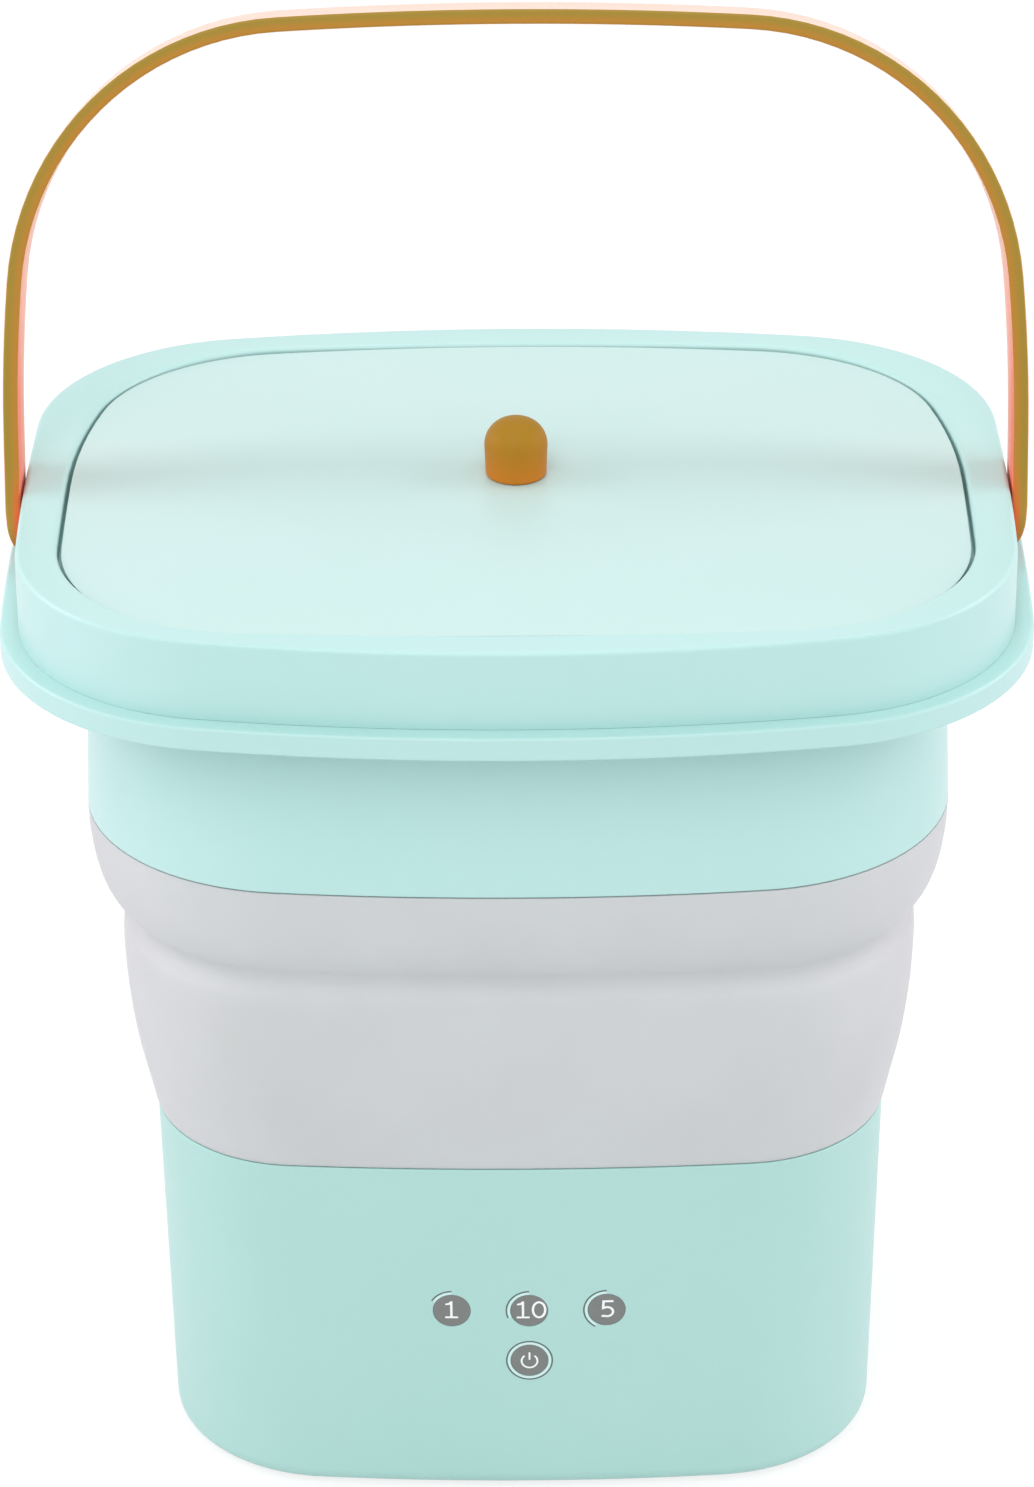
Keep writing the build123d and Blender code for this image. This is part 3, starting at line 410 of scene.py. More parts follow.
# four colours blended by measures that are between a low and a high value:
# outside to inside, and near to far on the feet, with the feet giving way to the sides as the rise grows
def makeMeasuredTone():
    measures = ("Inward", "Foot", "Rise")
    inputs = dict.fromkeys(("Outside", "Inside", "Foot Near", "Foot Far"), plainGrey)
    for label in measures:
        inputs |= {label: 0.0, f"{label} Low": 0.0, f"{label} High": 1.0}
    group, given, result = startGroup("measuredTone", inputs, ["Color"])
    inward, foot, rise = (
        spreadOf(group, given[label], given[f"{label} Low"], given[f"{label} High"], kind="SMOOTHSTEP")
        for label in measures
    )
    sides = blendOf(group, inward, given["Outside"], given["Inside"])
    feet = blendOf(group, foot, given["Foot Near"], given["Foot Far"])
    group.links.new(blendOf(group, rise, feet, sides), result["Color"])
    return group


makers = (makeToneDrift, makeMouldedGrain, makeGlossDrift, makeDrawnLines, makeHeightTone, makeMeasuredTone)
groups = {group.name: group for group in (make() for make in makers)}


# the outputs of a group placed in a material; its labels have _ for each space
def placeGroup(tree, name, **inputs):
    node = tree.nodes.new("ShaderNodeGroup")
    node.node_tree = groups[name]
    node.label = name
    for label, value in inputs.items():
        feed(tree, node.inputs[label.replace("_", " ")], value)
    return node.outputs


def startMaterial(name, look):
    material = bpy.data.materials.new(name)
    material.use_nodes = True
    values = {
        "Metallic": look.get("metallic", 0.0),
        "IOR": look.get("ior", 1.46),
        "Specular IOR Level": look.get("specular", 0.5),
        "Coat Weight": look.get("coat", 0.0),
        "Coat Roughness": 0.1,
        "Subsurface Weight": look.get("depthGlow", 0.0),
        "Subsurface Radius": (1.0, 1.0, 1.0),
        "Subsurface Scale": look.get("glowReach", 2.0) * mm,
    }
    for label, value in values.items():
        material.node_tree.nodes["Principled BSDF"].inputs[label].default_value = value
    return material, material.node_tree


# what every finish ends with: its colour, its drifting gloss and its bump
def endMaterial(material, look, colour, height, glossScale=40.0):
    tree = material.node_tree
    shader = tree.nodes["Principled BSDF"]
    low, high = look["gloss"]
    gloss = placeGroup(tree, "glossDrift", Low=low, High=high, Scale=glossScale)
    depth = look["bumpDepth"] * mm
    bump = addNode(tree, "ShaderNodeBump", Strength=look["bump"], Distance=depth, Height=height)
    tree.links.new(colour, shader.inputs["Base Color"])
    tree.links.new(gloss["Roughness"], shader.inputs["Roughness"])
    tree.links.new(bump.outputs["Normal"], shader.inputs["Normal"])
    return material


# a colour of the look drifting to its companion
def driftingTone(tree, look, colour):
    scale, amount = look.get("driftScale", 14.0), look.get("drift", 1.0)
    companion = tone(*look["companion"])
    return placeGroup(tree, "toneDrift", Color=colour, Companion=companion, Scale=scale, Amount=amount)["Color"]


# moulded plastic, elastomer, rubber and printed faces
def makeMoulded(name, look):
    material, tree = startMaterial(name, look)
    colour = tone(*look["colour"])
    if "topColour" in look:
        low, high = look["topReach"]
        top = tone(*look["topColour"])
        rising = placeGroup(tree, "heightTone", Foot_Color=colour, Top_Color=top, Foot=low * mm, Top=high * mm)
        colour = rising["Color"]
    grain = placeGroup(tree, "mouldedGrain", Grain_Scale=look.get("grainScale", 2600.0))
    return endMaterial(material, look, driftingTone(tree, look, colour), grain["Height"])


# drawn, turned or plated metal
def makeMetal(name, look):
    material, tree = startMaterial(name, look)
    light, dark = tone(*look["colour"]), tone(*look["companion"])
    lines = placeGroup(tree, "drawnLines", Stretch=look["stretch"], Light=light, Dark=dark)
    return endMaterial(material, look, lines["Color"], lines["Height"], 120.0)


# green solder mask with copper tracks showing through as slightly lighter lines
def makeBoard(name, look):
    material, tree = startMaterial(name, look)
    settings = {"feature": "DISTANCE_TO_EDGE", "distance": "CHEBYCHEV"}
    cells = addNode(tree, "ShaderNodeTexVoronoi", settings, Vector=objectPlace(tree), Scale=look["trackScale"])
    tracks = spreadOf(tree, cells.outputs[0], *look["trackEdge"], 1.0, 0.0)
    mask = driftingTone(tree, look, tone(*look["colour"]))
    colour = blendOf(tree, tracks, mask, tone(*look["tracks"]))
    return endMaterial(material, look, colour, tracks, 90.0)


# the strap's finishes change with the strap's own measures: how deep under its outer face,
# how far from its front edge, and how high over its pins
def makeStrapFinish(name, look):
    material, tree = startMaterial(name, look)
    colours = {"Outside": "outside", "Inside": "inside", "Foot_Near": "footNear", "Foot_Far": "footFar"}
    inputs = {label: tone(*look[key]) for label, key in colours.items()}
    attributes = {"Inward": "inwardShare", "Foot": look["footMeasure"], "Rise": "riseShare"}
    for label, attribute in attributes.items():
        low, high = look[label.lower()]
        reader = addNode(tree, "ShaderNodeAttribute", {"attribute_name": attribute})
        inputs |= {label: reader.outputs["Fac"], f"{label}_Low": low, f"{label}_High": high}
    sides = placeGroup(tree, "measuredTone", **inputs)["Color"]
    grain = placeGroup(tree, "mouldedGrain")
    return endMaterial(material, look, driftingTone(tree, look, sides), grain["Height"], 60.0)


# colours as seen, from 0 to 255, the gloss from low to high, the bump with its depth, and what else differs
def lookOf(colour, companion, gloss, bump, bumpDepth, **more):
    look = {"colour": colour, "companion": companion, "gloss": gloss}
    return {**look, "bump": bump, "bumpDepth": bumpDepth, **more}


def strapLook(bump, **more):
    common = {"gloss": (0.45, 0.55), "specular": 0.3, "bump": bump, "bumpDepth": 0.02, "drift": 0.25}
    return {**common, **more}


# turned or plated metal, with the stretch of its lines first
def metalLook(stretch, *values):
    return lookOf(*values, stretch=stretch, metallic=1.0)


def printLook(colour, companion):
    return lookOf(colour, companion, (0.45, 0.55), 0.1, 0.01, driftScale=300.0)


strapLooks = {
    "strapTan": strapLook(
        0.3,
        outside=(160, 132, 44),
        inside=(184, 128, 42),
        footNear=(170, 136, 50),
        footFar=(236, 94, 48),
        companion=(172, 128, 46),
        inward=(0.3, 0.8),
        footMeasure="inwardShare",
        foot=(0.25, 0.85),
        rise=(0.0, 0.13),
        driftScale=90.0,
    ),
    "strapBlush": strapLook(
        0.25,
        outside=(253, 216, 200),
        inside=(254, 198, 178),
        footNear=(254, 92, 64),
        footFar=(254, 164, 144),
        companion=(254, 196, 178),
        inward=(0.4, 0.6),
        footMeasure="acrossShare",
        foot=(0.1, 1.0),
        rise=(0.05, 0.75),
        driftScale=25.0,
        depthGlow=0.4,
        glowReach=5.0,
    ),
}

plasticLooks = {
    "shellMint": lookOf((174, 217, 211), (177, 219, 213), (0.38, 0.44), 0.04, 0.01, grainScale=900.0),
    "rimMint": lookOf(
        (184, 225, 221), (187, 226, 223), (0.32, 0.34), 0.01, 0.01, specular=0.42, grainScale=700.0
    ),
    # painted light: the lid is the same mint plastic as the rim, and its lighter, whiter colour is the brighter
    # light and sheen on its top painted into the colour
    "lidMint": lookOf(
        (193, 225, 221), (195, 226, 223), (0.36, 0.4), 0.02, 0.01, specular=0.4, grainScale=700.0
    ),
    "bellowsGrey": lookOf(
        (205, 209, 211),
        (201, 204, 205),
        (0.5, 0.6),
        0.3,
        0.03,
        driftScale=24.0,
        grainScale=1500.0,
        depthGlow=0.15,
        glowReach=3.0,
        ior=1.42,
    ),
    "knobTan": lookOf(
        (206, 123, 32),
        (184, 123, 32),
        (0.45, 0.55),
        0.25,
        0.02,
        topColour=(163, 124, 28),
        topReach=(284.0, 297.0),
        drift=0.2,
        driftScale=60.0,
        specular=0.2,
    ),
    "keyGrey": lookOf((124, 127, 125), (120, 124, 122), (0.4, 0.5), 0.15, 0.01, driftScale=200.0),
    "printWhite": printLook((250, 252, 252), (246, 249, 249)),
    "printPale": printLook((210, 240, 236), (212, 241, 238)),
    "printGrey": printLook((88, 96, 94), (94, 103, 101)),
    "coverWhite": lookOf((222, 227, 226), (215, 221, 220), (0.45, 0.55), 0.4, 0.04, grainScale=1800.0),
    "footRubber": lookOf((58, 60, 60), (50, 52, 52), (0.6, 0.75), 0.5, 0.04, grainScale=1600.0),
    "basinWhite": lookOf((228, 232, 232), (222, 228, 228), (0.28, 0.36), 0.2, 0.02),
    "pulsatorWhite": lookOf((238, 241, 241), (232, 237, 237), (0.2, 0.28), 0.15, 0.02, coat=0.3),
    "sealRubber": lookOf((196, 200, 200), (188, 193, 193), (0.5, 0.6), 0.3, 0.03, depthGlow=0.1),
    "magnetDark": lookOf((40, 41, 44), (52, 53, 56), (0.55, 0.7), 0.5, 0.04, driftScale=180.0),
    "capBlack": lookOf((34, 35, 37), (42, 43, 45), (0.4, 0.5), 0.4, 0.03),
    "componentDark": lookOf((32, 33, 35), (44, 45, 48), (0.35, 0.5), 0.4, 0.03, driftScale=150.0),
    "leadBlack": lookOf((26, 27, 29), (36, 37, 39), (0.45, 0.6), 0.3, 0.02, driftScale=120.0),
    "pipeGrey": lookOf((172, 178, 178), (164, 171, 171), (0.38, 0.46), 0.3, 0.03),
    "plugGrey": lookOf((180, 188, 188), (172, 181, 181), (0.5, 0.62), 0.35, 0.03, depthGlow=0.1),
    "jackBlack": lookOf((28, 29, 31), (36, 37, 40), (0.35, 0.45), 0.35, 0.03),
}

metalLooks = {
    "screwSteel": metalLook((1800, 1800, 200), (196, 197, 199), (168, 169, 172), (0.25, 0.35), 0.2, 0.01),
    "motorSteel": metalLook((300, 300, 2600), (186, 188, 190), (158, 160, 164), (0.32, 0.42), 0.25, 0.01),
    "bearingSteel": metalLook((2200, 2200, 120), (206, 207, 209), (182, 183, 186), (0.18, 0.26), 0.15, 0.01),
    "rotorSteel": metalLook((40, 40, 1900), (150, 147, 144), (110, 107, 105), (0.38, 0.5), 0.5, 0.02),
    "padBrass": metalLook((1600, 240, 1600), (214, 186, 122), (192, 162, 98), (0.25, 0.35), 0.2, 0.01),
}

boardLook = lookOf((38, 112, 66), (32, 98, 58), (0.25, 0.35), 0.3, 0.04, coat=0.3, driftScale=60.0)
boardLook.update(tracks=(64, 138, 86), trackScale=260.0, trackEdge=(0.05, 0.09))

allLooks = [(makeMoulded, plasticLooks), (makeMetal, metalLooks), (makeStrapFinish, strapLooks)]
allLooks.append((makeBoard, {"boardGreen": boardLook}))
materials = {name: make(name, look) for make, looks in allLooks for name, look in looks.items()}
print("materials made:", len(materials))

# the record's shell_mint is shown by shellMint, and so on, apart from these two
otherFinishes = {"handle_tan": "strapTan", "key_face": "keyGrey"}

for subpart in frame["record"]["subparts"]:
    slot = subpart["material_slot"]
    first, second = slot.split("_")
    finish = materials[otherFinishes.get(slot, first + second.title())]
    node = nodes[subpart["node"]]
    if not node.material_slots:
        node.data.materials.append(finish)
    for place in node.material_slots:
        place.link = "OBJECT"
        place.material = finish
print("finishes given to the frame's nodes")


# a finished piece: its material, the body it rides on and the nodes it stands for
def finishPiece(piece, finish, body, standsFor=()):
    piece.data.materials.clear()
    piece.data.materials.append(materials[finish])
    if standsFor:
        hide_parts(*standsFor)
    if body:
        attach(piece, body)
    return piece


# the base housing, open at the top, with seats for the keys and holes for the jack and the drain
baseSizes = {
    "low": 1.5,
    "high": 107.5,
    "wall": 2.6,
    "topRound": 0.35,
    "soleRound": 5.0,
    "rebate": 7.0,
    "rebateHigh": 3.5,
    "opening": 9.0,
    "lipHigh": 5.7,
    "jack": ((-30.0, 24.0), 4.15),  # place and radius
    "drain": ((0.0, 40.0), 6.15),
    "cutOutside": 6.0,
    "cutInside": 12.0,
}

keySizes = {
    "radius": 5.2,
    "gap": 0.05,
    "depth": 1.2,
    "backGap": 0.1,
    "round": 0.18,
    "faceRings": (0.15, 0.5, 0.8),
    "roundSteps": 4,
    "steps": 72,
    "spots": {"one": (-19.2, 61.4), "ten": (2.2, 61.4), "five": (23.6, 61.4), "start": (2.2, 44.8)},
}


def housingOutline(height):
    share = (height - baseSizes["low"]) / (baseSizes["high"] - baseSizes["low"])
    return mixed(plans["sole"], plans["base"], share)


# how far the housing's front stands from the middle at a place and height
def housingFront(x, height):
    halfDepth, radius = housingOutline(height)[1:3]
    return halfDepth - radius + sqrt(radius**2 - x**2)


def makeBaseShell():
    sizes = baseSizes
    low, high, lipHigh = sizes["low"], sizes["high"], sizes["lipHigh"]
    section = [
        (0.0, high, sizes["topRound"]),
        (0.0, low, sizes["soleRound"]),
        (sizes["rebate"], low, smallEdge),
        (sizes["rebate"], sizes["rebateHigh"], fineEdge),
        (sizes["opening"], sizes["rebateHigh"], fineEdge),
        (sizes["opening"], lipHigh, smallEdge),
        (sizes["wall"], lipHigh, deepEdge),
        (sizes["wall"], high, smallEdge),
    ]
    corners = [corner(setIn(housingOutline(height), inset), height, edge) for inset, height, edge in section]
    shell = sweptPiece("baseShell", roundedRows(corners, steps=8))
    bars = []
    outside, seat = sizes["cutOutside"], keySizes["radius"] + keySizes["gap"]
    for x, height in keySizes["spots"].values():
        front = housingFront(x, height)
        bars.append(cuttingBar((x, keySizes["depth"] - front, height), (x, -front - outside, height), seat))
    back = plans["base"][1]
    for hole in ("jack", "drain"):
        (x, height), radius = sizes[hole]
        bars.append(cuttingBar((x, back - sizes["cutInside"], height), (x, back + outside, height), radius))
    cutOut(shell, bars)
    return finishPiece(shell, "shellMint", "base", ["base_shell"])


makeBaseShell()
print("base shell made")


# touch keys, flush with the housing, and their printed marks
printSizes = {
    "lift": 0.025,
    "thick": 0.02,
    "digitHeight": 5.6,
    "digitStroke": 0.115,
    "digitPlaces": {"one": [("1", -0.1)], "ten": [("1", -1.72), ("0", 2.72)], "five": [("5", 0.3)]},
    "digitRise": 0.3,
    "arcRadius": 1.215,
    "arcWidth": 0.4,
    "haloRadius": 1.09,
    "haloWidth": 0.62,
    "arcs": {"one": (-60.0, 0.0), "ten": (-112.0, 0.0), "five": (-150.0, 0.0), "start": (0.0, 360.0)},
    "symbolRadius": 2.2,
    "symbolStroke": 0.5,
    "symbolDrop": 0.2,
    "symbolBar": (0.2, 2.7),
    "symbolOpening": 38.0,
}


def makeKey(name, x, height):
    sizes = keySizes
    radius, edge, steps = sizes["radius"], sizes["round"], sizes["steps"]
    line = [(share * radius, 0.0) for share in sizes["faceRings"]]
    line.append((radius - 2 * edge, 0.0))
    for step in range(sizes["roundSteps"] + 1):
        turn = step / sizes["roundSteps"] * pi / 2
        line.append((radius - edge * (1 - sin(turn)), edge * (1 - cos(turn))))
    line.append((radius, sizes["depth"] - sizes["backGap"]))
    vertices = []
    for reach, back in line:
        for step in range(steps):
            turn = 2 * pi * step / steps
            placeX, placeZ = x + reach * cos(turn), height + reach * sin(turn)
            vertices.append((placeX * mm, (back - housingFront(placeX, placeZ)) * mm, placeZ * mm))
    faces = skinFaces(len(line), steps, meet=False)
    key = cleanMesh(newPiece(f"key_{name}_face", vertices, faces))
    return finishPiece(key, "keyGrey", "base", [f"key_{name}"])


# a flat mark laid on the housing's front: outline points and faces as (x, height), and a thin back behind
def layOnFront(name, spots, faces, finish):
    lift, thick = printSizes["lift"], printSizes["thick"]
    count = len(spots)
    vertices = []
    for depth in (lift, lift - thick):
        for x, height in spots:
            vertices.append((x * mm, -(housingFront(x, height) + depth) * mm, height * mm))
    edges = {(face[number - 1], spot) for face in faces for number, spot in enumerate(face)}
    border = [(a, b) for a, b in sorted(edges) if (b, a) not in edges]
    allFaces = [tuple(face) for face in faces]
    allFaces += [tuple(count + spot for spot in reversed(face)) for face in faces]
    allFaces += [(b, a, count + a, count + b) for a, b in border]
    mark = cleanMesh(newPiece(name, vertices, allFaces), weld=0.0005)
    return finishPiece(mark, finish, "base")


# part of a ring, from one clock angle to another, clockwise from the top, with a step for about 4 degrees
def printedArc(name, x, height, radius, width, start, end, finish):
    steps = max(8, int(abs(end - start) / 4))
    whole = abs(end - start) >= 360
    spots, faces = [], []
    for step in range(steps + 1 - whole):
        turn = radians(start + (end - start) * step / steps)
        for reach in (radius - width / 2, radius + width / 2):
            spots.append((x + reach * sin(turn), height + reach * cos(turn)))
    count = len(spots) // 2
    for step in range(count if whole else count - 1):
        after = (step + 1) % count
        faces.append((2 * step, 2 * step + 1, 2 * after + 1, 2 * after))
    return layOnFront(name, spots, faces, finish)


# a line of even width through some points, with its corners mitred
def ribbonThrough(points, width, closed=False):
    spots, faces = [], []
    count = len(points)
    for number in range(count):
        here = Vector(points[number])
        turns = []
        if closed or number > 0:
            turns.append((here - Vector(points[number - 1])).normalized())
        if closed or number < count - 1:
            turns.append((Vector(points[(number + 1) % count]) - here).normalized())
        along = sum(turns, Vector((0.0, 0.0))).normalized()
        reach = width / 2 / max(along.dot(turns[0]), 0.4)
        for side in (-1, 1):
            spots.append((here.x - along.y * reach * side, here.y + along.x * reach * side))
    for number in range(count if closed else count - 1):
        after = (number + 1) % count
        faces.append((2 * number, 2 * after, 2 * after + 1, 2 * number + 1))
    return spots, faces


# digits of height 1 about the middle of their foot: points and faces
def digitOne():
    half, bar = printSizes["digitStroke"] / 2, printSizes["digitStroke"] * 0.9
    spots = [(-0.31, 0.0), (0.33, 0.0), (0.33, bar), (half, bar), (half, 1.0), (-half * 0.7, 1.0)]
    spots += [(-0.13, 0.9), (-0.29, 0.86), (-0.29, 0.77), (-half, 0.8), (-half, bar), (-0.31, bar)]
    return spots, [tuple(range(len(spots)))]


def digitZero():
    stroke = printSizes["digitStroke"]
    ring = []
    for step in range(40):
        turn = 2 * pi * step / 40
        ring.append(((0.36 - stroke / 2) * cos(turn), 0.5 + (0.505 - stroke / 2) * sin(turn)))
    return ribbonThrough(ring, stroke, closed=True)


def digitFive():
    stroke = printSizes["digitStroke"]
    line = [(0.28, 1.0 - stroke / 2), (-0.21, 1.0 - stroke / 2), (-0.23, 0.54)]
    for step in range(21):
        turn = radians(112 - step / 20 * 224)
        line.append((-0.03 + 0.29 * cos(turn), 0.325 + 0.27 * sin(turn)))
    line.append((-0.31, 0.075))
    return ribbonThrough(line, stroke)


digitShapes = {"1": digitOne, "0": digitZero, "5": digitFive}


def printedDigits(name, x, height):
    scale = printSizes["digitHeight"]
    foot = height + printSizes["digitRise"] - scale / 2
    for digit, shift in printSizes["digitPlaces"][name]:
        spots, faces = digitShapes[digit]()
        placed = [(x + shift + across * scale, foot + rise * scale) for across, rise in spots]
        layOnFront(f"digit_{name}_{digit}", placed, faces, "printWhite")


# a plain on and off sign, where the words of the start key would be
def printedSymbol(x, height):
    radius, stroke = printSizes["symbolRadius"], printSizes["symbolStroke"]
    opening, centre = printSizes["symbolOpening"], height - printSizes["symbolDrop"]
    printedArc("symbol_arc", x, centre, radius, stroke, opening, 360 - opening, "printWhite")
    left, right = x - stroke / 2, x + stroke / 2
    low, high = (height + rise for rise in printSizes["symbolBar"])
    bar = [(left, low), (right, low), (right, high), (left, high)]
    layOnFront("symbol_bar", bar, [(0, 1, 2, 3)], "printWhite")


for name, (x, height) in keySizes["spots"].items():
    makeKey(name, x, height)
    for mark, finish in (("halo", "printPale"), ("arc", "printGrey")):
        radius = keySizes["radius"] * printSizes[f"{mark}Radius"]
        width = printSizes[f"{mark}Width"]
        printedArc(f"{mark}_{name}", x, height, radius, width, *printSizes["arcs"][name], finish)
    if name in printSizes["digitPlaces"]:
        printedDigits(name, x, height)
    else:
        printedSymbol(x, height)
print("keys and their printed marks made")


# the tub rim with its band
rimSizes = {
    "bandLow": 201.5,
    "low": 252.5,
    "high": 259.0,
    "plate": 2.7,
    "wall": 2.6,
    "topRound": 0.7,
    "lowRound": 0.6,
    "footRound": 0.35,
    "bandWall": 2.5,
    "bandTaper": 2.0,
    "opening": 4.5,
}


# inside of the tub band at a height
def bandInside(height):
    sizes = rimSizes
    share = (height - sizes["bandLow"]) / (sizes["high"] - sizes["bandLow"])
    return mixed(setIn(plans["tub"], sizes["bandWall"]), setIn(plans["tub"], sizes["opening"]), share)


def makeTubRim():
    sizes = rimSizes
    rim, tub, wall = plans["rim"], plans["tub"], sizes["wall"]
    low, high, bandLow = sizes["low"], sizes["high"], sizes["bandLow"]
    plateLow = high - sizes["plate"]
    section = [
        (rim, 0.0, high, sizes["topRound"]),
        (rim, 0.0, low, sizes["lowRound"]),
        (rim, wall, low, sizes["lowRound"]),
        (rim, wall, plateLow, largeEdge),
        (tub, sizes["bandTaper"], plateLow, deepEdge),
        (tub, 0.0, bandLow, sizes["footRound"]),
        (tub, sizes["bandWall"], bandLow, midEdge),
        (tub, sizes["opening"], high, smallEdge),
    ]
    corners = [corner(setIn(outline, inset), height, edge) for outline, inset, height, edge in section]
    piece = sweptPiece("tubRim", roundedRows(corners))
    return finishPiece(piece, "rimMint", "upper", ["tub_rim"])


# the folding bellows: share of its height and share of the way from the housing outline to the tub outline
bellowsShape = [(0.0, -0.02), (0.013, 0.025), (0.056, 0.086), (0.12, 0.167), (0.19, 0.259), (0.259, 0.333)]
bellowsShape += [(0.329, 0.389), (0.398, 0.432), (0.463, 0.457), (0.537, 0.475), (0.58, 0.475)]
bellowsShape += [(0.607, 0.451), (0.628, 0.389), (0.65, 0.34), (0.671, 0.352), (0.693, 0.426)]
bellowsShape += [(0.714, 0.549), (0.741, 0.673), (0.773, 0.778), (0.816, 0.87), (0.869, 0.938)]
bellowsShape += [(0.938, 0.988), (1.0, 1.0)]

bellowsSizes = {
    "low": 107.8,
    "high": 201.2,
    "wall": 2.2,
    "tailLow": 102.3,
    "tailInset": 3.0,
    "tailThick": 2.0,
    "headHigh": 214.0,
    "headGap": 0.3,
    "headRoom": 1.0,
    "steps": 4,
}


def makeBellows():
    sizes = bellowsSizes
    low, high, wall = sizes["low"], sizes["high"], sizes["wall"]
    skin = []
    for share, spread in smoothLine(bellowsShape, sizes["steps"]):
        skin.append((mixed(plans["base"], plans["tub"], spread), low + share * (high - low)))
    tailHigh, tailLow = low + wall, sizes["tailLow"]
    headHigh, headLow = sizes["headHigh"], high - wall
    tailOuter = setIn(plans["base"], sizes["tailInset"])
    tailInner = setIn(tailOuter, sizes["tailThick"])
    gap, back = sizes["headGap"], sizes["headGap"] + sizes["tailThick"]
    head = ((gap, high), (gap, headHigh), (back, headHigh), (back, headLow))
    rows = skin + [(setIn(bandInside(height), inset), height) for inset, height in head]
    innerHigh = headLow - sizes["headRoom"]
    inner = [(setIn(outline, wall), height) for outline, height in skin if tailHigh < height < innerHigh]
    rows += reversed(inner)
    rows += [(tailInner, tailHigh), (tailInner, tailLow), (tailOuter, tailLow), (tailOuter, low)]
    piece = sweptPiece("bellowsWall", [(*outline, height, 0.0) for outline, height in rows])
    finishPiece(piece, "bellowsGrey", None, ["bellows"])
    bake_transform(piece)
    return piece


makeBellows()
print("bellows made")
makeTubRim()
print("tub rim made")


# the top frame round the lid
frameSizes = {
    "inset": 5.0,
    "low": 259.04,
    "high": 281.0,
    "topRound": 1.4,
    "lowRound": 0.12,
    "deck": 2.8,
    "wall": 2.8,
    "pocketGap": 1.05,
    "pocketCorners": (0.8, 1.6),
    "pocketWall": 2.2,
    "pocketRound": 1.4,
    "ledgeHigh": 275.7,
    "ledgeLow": 273.2,
    "skirtWall": 2.3,
    "pinHeight": 270.0,
    "pinRadius": 3.02,
    "pinStart": 124.5,
    "cutOutside": 3.0,
}


def makeTopFrame():
    sizes = frameSizes
    low, high, ledgeHigh, ledgeLow = (sizes[key] for key in ("low", "high", "ledgeHigh", "ledgeLow"))
    outer = setIn(plans["rim"], sizes["inset"])
    inner = setIn(outer, sizes["wall"])
    pocket = setIn(plans["lid"], -sizes["pocketGap"])
    front, back = sizes["pocketCorners"]  # rounder than the lid, so that the gap closes up at the corners
    pocket = (*pocket[:4], pocket[4] + front, *pocket[5:8], pocket[8] + back)
    pocketBack = setIn(pocket, -sizes["pocketWall"])
    opening = setIn(plans["tub"], rimSizes["opening"])
    skirtBack = setIn(opening, -sizes["skirtWall"])
    deckLow = high - sizes["deck"]
    section = [
        (outer, low, sizes["lowRound"]),
        (outer, high, sizes["topRound"]),
        (pocket, high, sizes["pocketRound"]),
        (pocket, ledgeHigh, fineEdge),
        (opening, ledgeHigh, midEdge),
        (opening, low, fineEdge),
        (skirtBack, low, fineEdge),
        (skirtBack, ledgeLow, smallEdge),
        (pocketBack, ledgeLow, smallEdge),
        (pocketBack, deckLow, smallEdge),
        (inner, deckLow, largeEdge),
        (inner, low, fineEdge),
    ]
    piece = sweptPiece("topFrame", roundedRows([corner(*place) for place in section], steps=7))
    far = outer[0] + sizes["cutOutside"]
    cutOut(piece, sideBars(sizes["pinStart"], far, sizes["pinHeight"], sizes["pinRadius"]))
    return finishPiece(piece, "rimMint", "upper", ["top_frame"])


makeTopFrame()
print("top frame made")


# the lid with its skirt, and the knob
lidSizes = {
    "low": 277.5,
    "lowRound": 0.3,
    "crownTop": 283.1,
    "crownRadii": (2770.0, 1390.0, 1570.0),
    "edgeRound": 0.25,
    "undercut": 1.0,
    "skirtInset": 5.8,
    "skirtWall": 1.8,
    "skirtLow": 269.5,
    "screwHole": bothHalves(2.15, 2.15, 2.3, 2.3, 2.0),
    "topRows": (0.97, 0.9, 0.75, 0.6, 0.45, 0.3, 0.15),
}

knobSizes = {
    "low": 283.12,
    "lowRadius": 8.2,
    "lowRound": 0.9,
    "radius": 8.5,
    "straight": 8.4,
    "dome": 7.8,
    "shoulder": 0.92,
    "tip": 0.3,
    "holds": (0.2, 0.4, 0.5),  # rows beside the roundings: under the knob, over its foot, under its dome
    "flare": 0.02,
    "screwRadius": 2.02,
    "screwTop": 290.0,
    "cutBelow": 5.0,
}


def makeLid():
    sizes = lidSizes
    lid, hole = plans["lid"], sizes["screwHole"]
    low, crownTop, skirtLow = sizes["low"], sizes["crownTop"], sizes["skirtLow"]
    skirt = setIn(plans["tub"], sizes["skirtInset"])
    skirtIn = setIn(skirt, sizes["skirtWall"])
    corners = [corner(setIn(lid, sizes["undercut"]), low, sizes["lowRound"])]
    corners.append(corner(lid, crownTop, sizes["edgeRound"], 1.0))
    for share in sizes["topRows"]:
        corners.append(corner(tuple(value * share for value in lid), crownTop, 0.0, 1.0))
    corners += [corner(hole, crownTop, 0.0, 1.0), corner(hole, low)]
    corners += [corner(skirtIn, low, midEdge), corner(skirtIn, skirtLow, smallEdge)]
    corners += [corner(skirt, skirtLow, smallEdge), corner(skirt, low, midEdge)]
    piece = sweptPiece("lidPanel", roundedRows(corners, steps=6), crownRadii=sizes["crownRadii"])
    return finishPiece(piece, "lidMint", "lid", ["lid_panel"])


